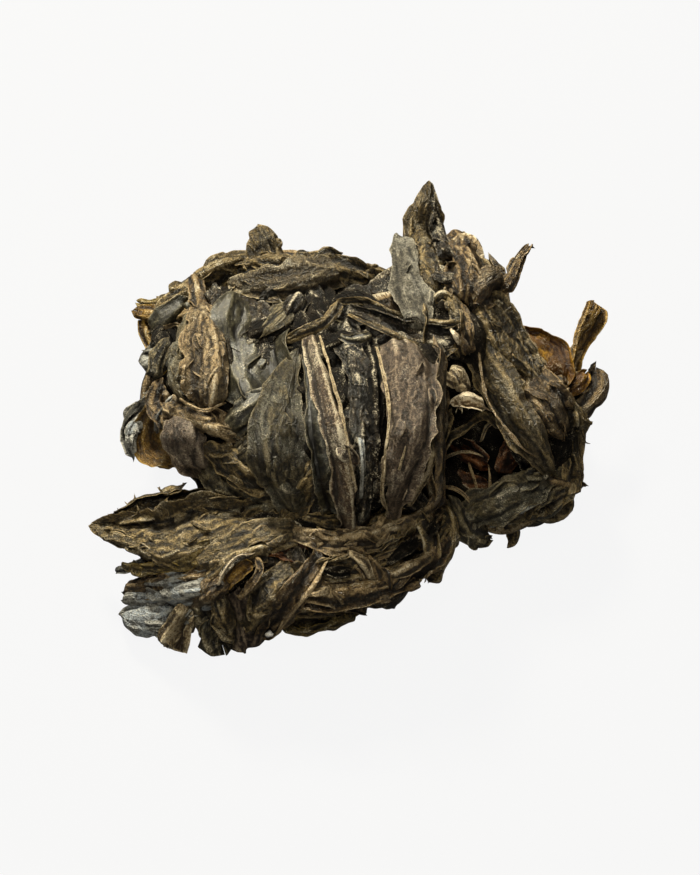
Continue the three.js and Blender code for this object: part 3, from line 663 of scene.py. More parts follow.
# ---- the fronds that show from the front ----
frontFronds = {
    "rearFold": front("olive", 70, 3, (4.25, 5.5, 5.25, 5, 2.75), (-45, 52.5, -2), (-31, 53.5, 0),
        (-17.5, 52.5, 1), (-2, 51, 1), (15.5, 51.5, 0)),
    "rearFoldUnder": front("olive", 60, 2, (2, 5, 5.5, 3.25), (-23, 54.5, 3), (-11, 53.5, 4), (0, 51, 5),
        (12, 46.5, 4)),
    "hookedTip": front("olive", 80, 2, (6.25, 7.25, 6.25, 2.75), (-26.5, 50, 0), (-29, 58, 4), (-31, 64, 6),
        (-33, 70, 6), torn=0.1),
    "roundKnob": front("brown", 120, 1, (5, 6.75, 4.5), (-11, 49.5, 2), (-5.5, 56, 5), (-3.5, 59, 4),
        torn=0.1),
    "saltedFold": front("salted", 40, 1, (1, 6, 8.75, 3.5), (-45, 48, 4), (-32, 46.5, 8), (-15.5, 48.5, 10),
        (2, 53, 7), crumple=0.4, torn=0.2, plain=1, lean=-6),
    "upperLeftTop": front("olive", 60, 3, (4.25, 6.75, 7, 4.25), (-69.5, 37.5, 0), (-57, 45, 3),
        (-45, 52.5, 4), (-33, 57, 3)),
    "leftRuffle": front("amber", 70, 3, (2.5, 4.5, 4.5, 2), (-77.5, 38.5, 0), (-71.5, 37.5, 2),
        (-63, 35.5, 3), (-55.5, 37, 3)),
    "leftSpikes": front("yellow", 50, 2, (1.5, 2.75, 2.75, 1.75), (-76.5, 41, 0), (-70, 40, 1),
        (-62.5, 42, 2), (-56, 45.5, 2), torn=0.6),
    "leftRuffleLow": front("amber", 60, 2, (2, 3.25, 3.75, 2.75), (-74, 37, -1), (-73, 31.5, 1), (-70, 25, 2),
        (-67, 16, 2)),
    "greyTriangle": front("silver", 20, 1, (0.75, 5.5, 4.5), (-76, 21, 2), (-71.5, 21, 4), (-65, 23, 6),
        torn=0.1),
    "greyPatch": front("blue", 40, 1, (2.5, 4.5, 3.25), (-71.5, 30.5, 5), (-66, 35, 8), (-58, 41, 8),
        crumple=0.5),
    "holeRim": front("tan", 90, 1, (0.5, 0.5, 0.5, 0.5), (-67.5, 31.5, 6), (-60, 32, 8), (-58, 25.5, 8),
        (-62.5, 19.5, 7)),
    # a near-black sheet as painted shade where a hole shows between the folds
    "holeDark": front("shade", 50, 1, (3.25, 5, 3.25), (-67, 35.5, 2), (-64.5, 28, 2), (-65, 18.5, 2)),
    "holeRib": front("grey", 80, 1, (2, 3.25, 2.75), (-63.5, 28, 8), (-67, 21.5, 9), (-68.5, 13, 6)),
    "brownFolds": front("brown", 90, 2, (2.75, 3.75, 2.75), (-56, 50.5, 4), (-53, 42, 7), (-51, 32.5, 7)),
    "brownFoldsRight": front("dark", 90, 2, (2.5, 3.5, 2.5), (-48.5, 48, 5), (-46, 39.5, 6), (-45, 29, 5)),
    "leftLobe": front("grey", 60, 2, (2.75, 5, 5.25, 3.5), (-54.5, 38.5, 8), (-56.5, 25.5, 12), (-58, 15, 12),
        (-56, 5.5, 9), crumple=0.9, lean=0),
    "leftLobeMiddle": front("tan", 40, 2, (2.5, 6.75, 8.5, 7.25, 3.25), (-52.5, 42, 9), (-51, 30.5, 14),
        (-50, 18, 16), (-50, 8, 14), (-51, 2, 9), pleat=0.7, crumple=1.15, crest=0.2, lean=0, torn=0.3),
    "leftLobeRim": front("tan", 90, 1, (0.25, 0.5, 0.5, 0.25), (-59.5, 7, 12), (-54, 3.5, 14),
        (-48.5, 2.5, 14), (-42.5, 5.5, 12)),
    "tanBand": front("tan", 80, 2, (3.25, 5.25, 5.5, 2.5), (-66.5, 5.5, 5), (-56, 1, 9), (-45, -3, 9),
        (-38.5, -8, 6)),
    "leftUnder": front("brown", 60, 2, (2.75, 3.75, 3.5), (-66, 11.5, 2), (-68, 5.5, 2), (-63.5, -2.5, 3)),
    "greyCorner": front("silver", 40, 3, (2, 3.5, 4.25, 2), (-67.5, 9, 1), (-73, 3.5, 1), (-78.5, -4.5, 0),
        (-77, -14, -2), crumple=1.2),
    "amberCorner": front("amber", 30, 2, (4.25, 6.25, 5.5, 2.75), (-68, 3.5, 0), (-70.5, -4.5, 0),
        (-70, -10.5, -1), (-62.5, -15, -2), crumple=0.6),
    "greyRib": front("silver", 140, 1, (1, 1.5, 1), (-62.5, 7, 6), (-67, 1, 8), (-68, -7, 6)),
    "purpleLobe": front("plum", 90, 1, (5.25, 8.5, 7.75, 3.25), (-56.5, 3.5, 7), (-58, -6.5, 12),
        (-56, -15, 10), (-51, -21, 4), crumple=0.6),
    "leftSkirt": front("grey", 60, 3, (2.5, 5.25, 6.75, 5.5, 3.25), (-54, -15.5, 1), (-47.5, -20, 5),
        (-39, -25, 6), (-29.5, -27.5, 6), (-20.5, -25.5, 4)),
    "leftSkirtUpper": front("olive", 80, 2, (3.25, 6, 6.25, 3.25), (-51, -8, 6), (-42, -15.5, 9),
        (-33, -21, 9), (-21.5, -22, 6)),
    "hollowBlade": front("blue", -20, 3, (9, 12.5, 13.75, 12, 8.5), (-35, 46, 3), (-35, 35, 5),
        (-34.5, 23, 6), (-30, 10.5, 7), (-24, -2.5, 5), crumple=0.7, plain=1, lean=0),
    "hollowFoldB": front("grey", 50, 2, (1.5, 3.25, 1.5), (-20.5, 40.5, 5), (-26, 33.5, 8), (-31, 29, 7)),
    "hollowRim": front("shade", 60, 1, (1, 1.5, 1.5, 1.5, 1), (-41.5, 46.5, 6), (-43.5, 37, 7),
        (-42.5, 23.5, 8), (-39, 8, 8), (-38, -5, 6)),
    "fanFoldLeft": front("blue", 60, 2, (1.75, 5.25, 6.75, 2.5), (-19.5, 13, 7), (-28, 7, 10),
        (-36.5, 0.5, 10), (-45.5, -8, 6)),
    "fanFoldMiddle": front("grey", 70, 2, (1.75, 5.25, 6.25, 2.75), (-19, 6, 8), (-25, -1.5, 11),
        (-32, -9, 10), (-40.5, -15.5, 5)),
    "fanFoldRight": front("olive", 70, 2, (2, 6.75, 7.25, 3.5), (-16.5, -1, 8), (-21, -10.5, 11),
        (-26.5, -18.5, 10), (-33, -24.5, 5)),
    "puckerFold": front("olive", 70, 3, (2.75, 7.75, 7, 3.5), (-13.5, -11.5, 9), (-17, -21, 10),
        (-21, -29.5, 7), (-24, -37.5, 4)),
    "darkTriangle": front("dark", 30, 1, (4.25, 3.5, 0.75), (-15.5, 42.5, 5), (-19.5, 37, 6),
        (-24.5, 30.5, 5)),
    "rolledRim": front("olive", 50, 1, (0.5, 1.75, 2.5, 2.5, 1.75), (-23.5, 25.5, 9), (-17.5, 28.5, 12),
        (-10, 31.5, 14), (-5, 36.5, 15), (-2, 41, 15), crumple=0.6, torn=0.1),
    "rolledRimTop": front("olive", 40, 1, (1, 1.5, 1.75, 1.75, 1.5), (-4, 40, 15), (5, 40, 17),
        (13.5, 36, 18), (22.5, 33.5, 18), (35.5, 31.5, 17), crumple=0.8, torn=0.2, lean=-20),
    "rolledRimUnder": front("dark", -50, 1, (1.5, 3.5, 4.5, 4.5), (-2, 38, 14), (10.5, 33.5, 16),
        (21.5, 29, 16), (35, 27, 15), crumple=0.5, torn=0.15, plain=1, lean=0),
    "rolledRimLow": front("olive", 40, 1, (0.75, 1.25, 1.5, 1.5, 1), (-2, 36, 15), (12, 29.5, 18),
        (21.5, 25, 18), (31, 21, 18), (36, 23.5, 17), crumple=0.8, torn=0.2, lean=15),
    "peakBlade": front("grey", 40, 3, (1, 6, 10.75, 12.25, 7), (-18, 24, 9), (-21.5, 10.5, 14),
        (-23.5, -3.5, 16), (-21.5, -17.5, 14), (-15.5, -34.5, 6), crumple=0.7, torn=0.2, plain=1, lean=0),
    "peakBladeRight": front("blue", 60, 2, (1.5, 3.5, 5.25, 5.5, 3.75), (-16, 23.5, 10), (-12, 9.5, 14),
        (-10, -4.5, 16), (-7.5, -18.5, 14), (-4.5, -34, 8)),
    "midrib": front("midrib", 50, 2, (2.75, 3.75, 4.25, 4.25, 2.75), (-15, 29, 14), (-10, 11.5, 18),
        (-5.5, -5, 19), (-2, -27, 16), (0, -40, 9), pleat=0.7, crumple=0.4, torn=0.2, lean=0),
    "midribEdge": front("pale", 60, 1, (0.25, 0.5, 0.5, 0.5), (-11, 29.5, 14.5), (-5, 9.5, 18.5),
        (-1, -8, 19), (2, -27, 16), crumple=0.4),
    "midribSlip": front("silver", 60, 1, (0.5, 0.75, 0.5), (-13.5, 13, 15), (-11, -2.5, 17), (-7.5, -20, 15),
        crumple=0.3),
    "darkFoldLeft": front("dark", 80, 3, (3.25, 4.5, 4.5, 4.25, 2.75), (-3, 29, 11), (2, 15, 12), (4, -1, 12),
        (5.5, -18.5, 11), (4, -38.5, 7), crumple=1.4),
    "darkFoldRight": front("shade", 80, 2, (3.25, 3.75, 3.5, 3.5, 2.75), (3.5, 30, 9), (7, 16.5, 11),
        (8, 2.5, 10), (7.5, -11.5, 9), (7, -29, 6), crumple=1.3),
    "thinStrip": front("silver", 120, 1, (0.75, 1, 0.75), (3.5, -6.5, 15), (4.5, -16.5, 15), (4, -29, 12),
        crumple=0.3),
    "bluishFold": front("blue", 30, 2, (1, 2.5, 1.5), (-5.5, 29, 13), (0.5, 26.5, 14.5), (8.5, 28.5, 13),
        crumple=1.3, torn=0.6),
    "tongue": front("plum", 40, 3, (9.5, 10.75, 8.75, 8.5, 6.25, 3.25, 1), (19.5, 26.5, 14), (21, 16.5, 18),
        (21.5, 4.5, 19), (20.5, -8.5, 19), (18, -20.5, 15), (15.5, -31, 10), (14.5, -39.5, 7), pleat=0.6,
        crumple=0.6, crest=0.5, torn=0.1, plain=1, lean=5),
    "tongueRidge": front("pale", 60, 1, (0.25, 0.25, 0.25, 0.25), (24.5, 23, 18), (23, 9.5, 20),
        (20, -4.5, 20), (16, -20, 17), crumple=0.6),
    "tongueEdge": front("pale", 50, 1, (0.25, 0.5, 0.5, 0.5, 0.5, 0.25), (8.5, 25.5, 16), (11.5, 14, 19),
        (13.5, 2.5, 20), (12, -12, 20), (11, -25.5, 17), (13.5, -34.5, 12), crumple=1),
    "tongueSide": front("pale", 70, 2, (1.5, 2, 2, 1.5), (27.5, 9.5, 13), (28.5, -4.5, 14), (26, -18.5, 12),
        (19, -31, 9)),
    "creamTearLeft": front("pale", 15, 1, (1, 2.75, 1.75), (25.5, 14, 19), (31, 14.5, 26.5), (37, 11, 25.5),
        torn=0.9, crumple=0.7, lean=30),
    "creamTearUpper": front("pale", 10, 1, (1, 2.75, 1.75), (32, 16.5, 19.5), (36.5, 14.5, 20), (40.5, 8, 23),
        torn=1.2, crumple=1.6, lean=20, spacing=0.25),
    "creamTearLower": front("cream", 10, 1, (1.5, 3.25, 1.75), (33.5, 5, 21), (40, 6, 29.5), (47, 3.5, 45.5),
        torn=1.2, crumple=2, lean=10, spacing=0.25),
    "creamSplinter": front("cream", 30, 1, (0.25, 1.25, 0.25), (34.5, 30.5, 18), (36.5, 27, 18),
        (38, 23.5, 17), torn=0.1),
    "peakHood": front("olive", 60, 1, (2, 6, 9, 9.75, 6), (27.5, 82.5, 15), (27, 74, 13), (26, 65.5, 10),
        (28, 54.5, 8), (32, 45.5, 7), pleat=0.7, torn=0.05, crest=0.1, crumple=0.8, lean=0),
    "peakFold": front("dark", 110, 1, (1, 3.25, 3.25), (28.5, 77.5, 14), (31, 67.5, 12), (34.5, 57, 9)),
    "greyFinger": front("ash", 40, 1, (1, 3.75, 6, 6.25, 4.25), (18.5, 65.5, 28), (18, 62, 33),
        (19, 53.5, 31), (21, 42, 30), (24.5, 30.5, 20.5), pleat=0.7, crumple=0.5, torn=0, plain=1, lean=0),
    "fingerBase": front("dark", 60, 2, (2.75, 4.25, 3.25), (12, 54.5, 2), (12.5, 44.5, 4), (16, 35, 6)),
    "shoulder": front("brown", 80, 2, (4.5, 7, 7.75, 6.25), (34, 65.5, 5), (37.5, 57, 8), (40.5, 47.5, 9),
        (41.5, 38.5, 8), crumple=1.1),
    "shoulderEdge": front("olive", 70, 2, (2.5, 3.5, 4.25, 3.25), (38.5, 61.5, -1), (43.5, 54.5, 2),
        (48.5, 46, 3), (52.5, 37, 3)),
    "shoulderGap": front("dark", 40, 1, (1.75, 2.75, 1.75), (26, 52.5, 9), (31.5, 49, 10), (39, 48, 9)),
    "ribbedFold": front("olive", 80, 3, (3.25, 5.25, 4.25), (35.5, 42.5, 10), (38.5, 31.5, 13),
        (42, 17.5, 12)),
    "ribbedFoldLeft": front("dark", 80, 2, (2.5, 3.75, 2.75), (27.5, 32, 11), (32, 25, 12), (38, 19.5, 11)),
    "gapRib": front("olive", 10, 2, (1, 1.75, 1.5), (28.5, 39.5, 12.5), (32, 42, 10.5), (36, 39, 7),
        pleat=1.5, crumple=1, torn=0.8, spacing=0.3),
    "gapFold": front("dark", 70, 2, (3.25, 3.75, 2.75), (24.5, 45.5, 11.5), (28.5, 38.5, 7.5),
        (31.5, 30.5, 8), crumple=1.2),
    "greyRibs": front("brown", 60, 3, (1.5, 2.75, 1.75), (37, 40.5, 10), (40.5, 30.5, 13), (42.5, 21, 14)),
    "roundedBlade": front("brown", 50, 1, (3.75, 7, 3.75), (44, 40.5, 13), (49.5, 45.5, 17), (55, 47.5, 31),
        crumple=0.7, torn=0.2, lean=0),
    "twig": front("brown", 90, 1, (3.5, 2.75, 2.5, 0.75), (53.5, 44.5, 19), (56.5, 50, 29), (59, 56, 26.5),
        (62.5, 61.5, 24.5), torn=0.1),
    "amberWeb": front("glow", 10, 2, (2.75, 6.25, 7.75, 5), (57.5, 30.5, 16), (64.5, 27, 5.5),
        (70.5, 22, 5.5), (74.5, 13.5, 6.5), pleat=0.8, crumple=0.6, plain=1, lean=0),
    "rolledTwig": front("amber", 80, 1, (3.5, 2, 3.5, 5.25, 4.5), (77.5, 11.5, 6), (80, 21, 8), (82.5, 29, 9),
        (86, 36, 10), (87.5, 42, 9), torn=0.1, crumple=0.6, lean=0),
    "twigFoot": front("brown", 90, 2, (3.5, 4.25, 2), (72, 11.5, 5), (77, 18, 7), (82, 26.5, 7)),
    "rightLobe": front("brown", 70, 1, (3.25, 6, 5.25, 3.25), (75.5, 2, 4), (82, 5.5, 7), (86.5, 11, 7),
        (87.5, 19, 5), crumple=0.5, plain=1, lean=0),
    "rightLobeIn": front("glow", 30, 1, (2.75, 3.75, 1.75), (77, 9, 6), (81, 12.5, 9), (84.5, 16.5, 7),
        crumple=0.4, plain=1),
    "longBladeUpper": front("olive", 60, 3, (6, 8.5, 6.75, 2.75), (45, 42, 9), (52.5, 30.5, 16),
        (59.5, 21, 17), (66.5, 11, 9), lean=0),
    "longBlade": front("olive", 60, 2, (3.5, 7, 8, 6.25, 2.75), (42.5, 28, 10), (49, 14, 22.5), (56, 0.5, 18),
        (63.5, -10.5, 12), (71, -20.5, 9.5), crumple=0.6, plain=1, lean=0),
    "longBladeEdge": front("tan", 80, 1, (0.25, 0.5, 0.5, 0.5, 0.25), (44, 24.5, 14.5), (47, 7, 30.5),
        (52.5, -2.5, 25), (59.5, -10.5, 15.5), (68.5, -16, 11), crumple=0.5),
    "longBladeOuter": front("brown", 60, 3, (3.25, 6, 8, 6.25), (56, 28.5, 7), (62.5, 16.5, 11),
        (70, 4.5, 12), (76.5, -8, 9), crumple=0.7),
    "rightCrumple": front("olive", 90, 3, (5, 7.25, 7, 5), (69.5, 10.5, 6), (75, 0, 9), (77, -12, 8),
        (75.5, -24, 5)),
    "rightCrumpleOuter": front("olive", 90, 2, (3.25, 3.75, 3.5, 2.75), (72.5, 5.5, 2), (75.5, -2.5, 3),
        (76.5, -13, 2), (76, -22, 0)),
    "hollowArch": front("olive", 110, 1, (1.5, 1.75, 1.75, 1.75, 1.5), (31, -13, 0), (34, -7, 10.5),
        (39.5, -3.5, 35), (47, 1, 33.5), (52.5, -3, 14)),
    "hollowEdge": front("olive", 90, 2, (1.5, 2, 2.75, 2.5), (35, 2, 32.5), (31, -9.5, 4), (30, -22, 22),
        (32.5, -33, 17.5)),
    "hollowVein": front("pale", 90, 1, (0.25, 0.25, 0.25, 0.25), (31.5, -15, -5.5), (35.5, -13, 9),
        (41.5, -12, 8), (47.5, -14, 7), crumple=0.3),
    "hollowCurl": front("pale", 100, 1, (0.5, 1, 1, 0.5), (45.5, -9.5, 6.5), (48, -3, 16), (52.5, -1, 5),
        (54, -6.5, 0)),
    "hollowLeafA": front("red", 60, 2, (2.75, 4.5, 2.75), (33.5, -20, 2), (40.5, -24.5, -5.5), (49, -24, -8)),
    "hollowLeafC": front("red", 70, 3, (2.75, 4.5, 2.75), (34.5, -8, -9), (41.5, -11.5, 1), (49, -17, -7)),
    "hollowLeafD": front("red", 70, 2, (2.75, 4.25, 2.75), (52.5, -20.5, -7.5), (56.5, -13, -4),
        (59.5, -5, -9)),
    "hollowBack": front("dark", 60, 2, (3.25, 4.5, 3.75), (56.5, -8, 0), (63, -15.5, 2), (68, -23.5, 2.5)),
    "hollowLeafB": front("dark", 70, 2, (2.75, 4.25, 2.75), (48.5, -27.5, -4), (55.5, -23.5, -3),
        (63, -20.5, -4)),
    "hollowRib": front("tan", 90, 1, (0.25, 0.5, 0.25), (41, -15.5, 6), (44, -23.5, -2.5), (45.5, -33, 4.5),
        crumple=0.4),
    "hollowRibRight": front("tan", 90, 1, (0.25, 0.5, 0.25), (48.5, -15.5, -1), (49, -24, -4),
        (46.5, -32.5, 3.5), crumple=0.4),
    "hollowRibLeft": front("tan", 90, 1, (0.25, 0.5, 0.25), (33, -23.5, 12), (38.5, -26, 4), (43.5, -31.5, 4),
        crumple=0.4),
    "lowerRightBlade": front("grey", 50, 2, (1.75, 6, 7.25, 5), (74, -19, 6), (63.5, -24, 9), (52, -29.5, 9),
        (38, -36.5, 6)),
    "lowerRightFold": front("silver", 50, 2, (1.5, 3.25, 2), (69.5, -27, 7), (59, -31.5, 9), (47.5, -36, 8)),
    "oliveEdgeRight": front("olive", 60, 2, (1.5, 3.5, 4.5, 4.25), (80.5, -22, 2), (73, -27, 4), (63, -31, 5),
        (53, -36, 4)),
    "brownTip": front("brown", 60, 2, (2.75, 4.25, 1.5), (70, -22.5, 5), (77, -24, 5), (83.5, -24, 3)),
    "danglingTip": front("olive", 60, 1, (2.75, 2.75, 0.75), (54, -34.5, 4), (57.5, -41, 4), (56.5, -46.5, 3),
        torn=0.1),
    "greyLower": front("grey", 70, 2, (4.25, 5.5, 4.5, 2.5), (35, -29.5, 12.5), (39.5, -36.5, 14.5),
        (45, -42, 12), (50.5, -43, 11)),
    "gapFiller": front("dark", 50, 1, (3.25, 4.5, 3.25), (21, -28, 3.5), (26.5, -34.5, 24.5), (32, -41, 0)),
    "fanLobe": front("olive", 40, 5, (0.75, 6.25, 12, 11.25, 7.25, 3.5), (-92.5, -37.5, -3), (-80.5, -39, 3),
        (-64.5, -41, 8), (-48.5, -37.5, 10), (-32, -34, 9), (-17.5, -31.5, 7), pleat=1.2, crumple=0.7,
        torn=0.05, lean=0),
    "fanLobeUpper": front("olive", 50, 3, (2, 5.25, 6, 3.5), (-83.5, -36.5, 0), (-70, -31.5, 4),
        (-50.5, -30.5, 6), (-30, -30.5, 6), plain=1),
    "fanUnder": front("yellow", 50, 2, (1.5, 2.75, 3.5, 2.75), (-80.5, -51.5, -3), (-70, -52.5, 1),
        (-55.5, -49, 4), (-38.5, -42, 6)),
    "fanSpur": front("silver", 50, 1, (0.75, 1.75, 1.5), (-83, -53.5, -3), (-78.5, -52.5, -1), (-73, -50, 0)),
    "blueStrip": front("silver", 50, 1, (1.5, 2.75, 3.5, 2.5), (-72.5, -57, -1), (-62.5, -56, 2),
        (-50.5, -52.5, 4), (-38.5, -48.5, 5), plain=1, lean=20),
    "brownUnder": front("brown", 50, 2, (2.75, 4.25, 5, 3.25), (-80, -59.5, -3), (-69.5, -58.5, 0),
        (-54, -57, 3), (-38.5, -52, 5)),
    "silverUpper": front("silver", 60, 2, (2.5, 4.5, 5.25, 2.75), (-80.5, -63, -2), (-68, -61, 4),
        (-54, -58.5, 6), (-40, -54, 6), torn=0.3, crumple=1, lean=10),
    "silverLower": front("silver", 50, 2, (1.75, 6.25, 7, 3.25), (-81.5, -68.5, -3), (-70.5, -69.5, 3),
        (-58, -66.5, 6), (-47, -62, 6), torn=0.3, crumple=1.2, lean=5),
    "tanFlap": front("pale", 15, 1, (1.75, 4.5, 5.5), (-56, -64.5, 10), (-60, -73, 8), (-63.5, -80.5, 4),
        crumple=0.8, torn=0.25, lean=0),
    "footFold": front("brown", 50, 2, (3.25, 4.25, 2.75), (-53.5, -59.5, 5), (-55.5, -68, 3),
        (-57.5, -76, -1), torn=0.3, crumple=1.2, lean=0),
    "tubeEnd": front("brown", 130, 1, (2, 4.25, 4.5), (-56, -68, 8), (-47.5, -61, 11), (-41.5, -57, 12),
        torn=0.1),
    "tubeRim": front("dark", 90, 1, (0.75, 1.25, 1.25, 0.75), (-45.5, -60.5, 12), (-43, -52.5, 14),
        (-38, -48, 15), (-32.5, -47, 14), crumple=1.2),
    "tubeRimLine": front("cream", 90, 1, (0.25, 0.5, 0.5, 0.25), (-45, -58.5, 14), (-42, -51.5, 16),
        (-37.5, -47, 17), (-32, -47, 16), crumple=0.4),
    "tubeRimRight": front("brown", 80, 1, (0.75, 1.25, 1.25, 1), (-32, -47.5, 14), (-30.5, -51.5, 14),
        (-34, -57.5, 14), (-39, -62.5, 13), crumple=1.2),
    "tubeInside": front("amber", -80, 1, (2, 3.25, 2), (-42.5, -58, 12), (-38, -52.5, 13), (-33, -49, 13),
        crumple=0.4),
    "lobeBottomLeft": front("grey", 80, 2, (5, 7.25, 6), (-50.5, -61, 6), (-47, -71, 7), (-44, -82, 1),
        crumple=1.2),
    "lobeBottomRight": front("plum", 80, 1, (5.25, 8.75, 6.75), (-36.5, -62, 8), (-35.5, -71.5, 8),
        (-35.5, -81.5, 1)),
    "saltGrain": front("salt", 60, 1, (1, 1.25, 1), (-29.5, -74.5, 11), (-27.5, -74.5, 12), (-26, -74.5, 11),
        torn=0.3),
    "lobeBottomInner": front("olive", 90, 2, (3.25, 5.25, 3.5), (-45, -58.5, 8), (-42.5, -66.5, 10),
        (-40, -76, 8)),
    "diagonal": front("brown", 60, 1, (2.75, 4.5, 5, 4.5, 2.5), (-8.5, -45, 12), (-15.5, -56, 15),
        (-22, -65.5, 14), (-28, -73.5, 10), (-31, -78.5, 5), crest=0.5, crumple=0.8),
    "diagonalEdge": front("tan", 90, 1, (0.5, 0.75, 0.75, 0.5), (-6.5, -46.5, 14), (-12.5, -57, 16),
        (-19, -65.5, 15), (-26.5, -76, 10)),
    "leftOfDiagonal": front("olive", 70, 2, (3.25, 5.5, 6, 3.25), (-20.5, -50, 9), (-28, -58.5, 11),
        (-33.5, -66.5, 9), (-37, -75, 5)),
    "redPocket": front("red", -60, 1, (2.75, 5.25, 3.25), (-32, -45.5, 6), (-23, -44.5, 6),
        (-15.5, -48.5, 6)),
    "bandLeft": front("olive", 60, 2, (2.75, 5.25, 6, 4.25), (-54, -50.5, 5), (-44, -46.5, 8), (-30, -41, 9),
        (-16, -38.5, 9)),
    "bandLeftLower": front("olive", 70, 2, (2.75, 5, 3.5), (-50.5, -57, 6), (-40, -50, 9),
        (-27.5, -45.5, 10)),
    "oliveLobe": front("yellow", 60, 3, (1.75, 3.75, 3.75, 1.5), (-24.5, -73.5, 2), (-15.5, -72, 5),
        (-5.5, -70, 5), (3, -68, 2)),
    "bandTop": front("tan", 45, 2, (3.5, 5.5, 5.5, 5.25, 2.75), (-21.5, -38.5, 9), (-5, -42.5, 13),
        (9, -41.5, 14), (21.5, -37.5, 14), (32, -29, 24.5), crest=-0.5, lean=20, crumple=1.3),
    "bandTopInner": front("olive", 80, 2, (2.75, 4.5, 4.5, 2.75), (-19, -34.5, 7), (-3.5, -37.5, 9),
        (10.5, -36.5, 9), (24.5, -29.5, 8)),
    "bandUpper": front("olive", 45, 3, (3.25, 6, 6.25, 6, 3.25), (-19, -52, 9), (-2, -52.5, 12),
        (14, -48.5, 13), (27.5, -41.5, 11), (34.5, -32.5, 21.5), crest=-0.6, lean=-25, crumple=1.3),
    "bandUpperEdge": front("tan", 80, 1, (0.5, 1, 1, 0.5), (-11, -48.5, 12), (0.5, -50, 13), (14, -46.5, 14),
        (24.5, -41, 13)),
    "bandMiddle": front("brown", 45, 3, (3.25, 6, 6, 5.5, 3.25), (-21.5, -60.5, 8), (-3.5, -60, 11),
        (13.5, -55.5, 11), (28, -47.5, 8.5), (35, -39.5, 20), crest=0.5, lean=22, crumple=1.3),
    "bandMiddleEdge": front("tan", 80, 1, (0.5, 1, 1, 0.5), (-15.5, -57, 10), (-2, -57, 12),
        (13.5, -53.5, 12), (28, -45.5, 11)),
    "bandFoot": front("olive", 60, 2, (2.5, 3.75, 3.75, 3.25, 2), (-21, -66, 5), (-5, -65.5, 6), (12, -60, 6),
        (24.5, -54, 4), (33, -47, 2), lean=-18),
    "bandCross": front("brown", 60, 1, (2.75, 4.5, 3.25), (0.5, -44.5, 14), (7.5, -52, 14), (10.5, -61, 11)),
    "bandCrossRight": front("olive", 70, 2, (2.75, 4.5, 3.25), (22.5, -33, 12), (27.5, -41.5, 13),
        (28, -50.5, 11)),
    "bandFootEdge": front("tan", 80, 1, (0.5, 1, 1, 0.5), (-17.5, -64, 8), (-3.5, -64, 9), (12, -61, 9),
        (26, -54, 8)),
    "bandRight": front("olive", 80, 2, (3.25, 3.5, 3.5, 2.75), (31.5, -30, 22.5), (34, -39.5, 22),
        (32, -48.5, 0.5), (28, -58.5, -1)),
    # the band's pockets: near-black sheets as painted shade
    "bandPocketA": front("shade", -50, 1, (1, 2.5, 1), (-10, -52, 14), (-4, -52.5, 15), (1.5, -52, 14)),
    "bandPocketB": front("shade", -50, 1, (1, 2.5, 1), (12.5, -50, 15), (19, -45, 16), (25, -41.5, 15)),
    "bandPocketC": front("shade", -50, 1, (0.75, 1.75, 0.75), (26, -41.5, 14), (28.5, -38, 15),
        (31.5, -34.5, 14)),
    "bandBlade": front("tan", 40, 1, (1, 3.5, 3.25, 1), (-18, -60.5, 14), (-7, -61, 15), (0.5, -64.5, 13),
        (7, -67.5, 9), crumple=0.7),
    "bandSlant": front("pale", 50, 1, (1.5, 2.75, 1.5), (-1.5, -45.5, 15), (4, -50, 16), (7.5, -57, 14),
        crumple=0.7),
    "bandSlantRight": front("tan", 50, 2, (1, 2.75, 1.5), (12, -55, 13), (19.5, -52, 14), (28.5, -47, 12),
        lean=30),
}
stationsSeen, liftsSeen, frontShells = [], [], {}
for number, (name, frond) in enumerate(frontFronds.items()):
    frontShells[name] = frondShell(seen(frond["path"]), viewEye, frond, number + 1)
    addPiece(name, meshOf(name, [frontShells[name]]), frond["look"])
    path = np.array(frond["path"], float)
    at = np.linspace(0, 1, 6 * len(path)) * (len(path) - 1)
    between = np.stack([np.interp(at, np.arange(len(path)), column) for column in path.T], axis=1)
    stationsSeen.append(between[:, :2])
    liftsSeen.append(between[:, 2])
stationsSeen, liftsSeen = np.concatenate(stationsSeen), np.concatenate(liftsSeen)
print("front fronds made:", len(frontFronds), "triangles", triangleCount)

# How far the bulk is raised: over what distance a frond counts, mm, how little those above the lowest count,
# mm, the pull to nought where there are none, and how many places are worked out at a time.
under = {"bell": 5.0, "soft": 2.5, "none": 0.3, "atOnce": 4000}


# How far the bulk is raised under the fronds near places across the front view: a mean of their lifts that
# leans to the lowest, each weighted by a bell curve of its distance.
def raisedUnder(places):
    raised = np.zeros(len(places))
    for low in range(0, len(places), under["atOnce"]):
        some = slice(low, low + under["atOnce"])
        apart = ((places[some, None] - stationsSeen) ** 2).sum(-1)
        weights = np.exp(-apart / (2 * under["bell"] * under["bell"]))
        lowest = (weights * np.exp(-liftsSeen / under["soft"])).sum(1) + under["none"]
        raised[some] = -under["soft"] * np.log(lowest / (weights.sum(1) + under["none"]))
    return raised


# ---- small folds that stand up from the fronds ----
small = {
    "perArea": 1 / 75,  # how many for each square mm of a frond
    "length": (5, 12), "half": (1.1, 2.8), "endShare": 0.3,  # mm, and how wide the ends are
    "curl": (20, 90), "lean": 50, "turn": 0.7,  # degrees, degrees and radians
    "raised": 0.35, "raisedFrom": (-0.3, 1.0),  # mm, and the shares of it
    "rowsFrom": (0.06, 0.8), "columnsFrom": (0.08, 0.92),  # where they start, as shares of the frond
    "fewestRows": 40, "fewestColumns": 14,  # smaller fronds have none
    "onPlain": 0.2,  # share of them on fronds marked plain
    "smooth": ("plum", "blue", "midrib", "cream", "salt", "amber"),  # looks with as few
    "spacing": 0.65, "crumple": 0.5, "seed": 21,
}


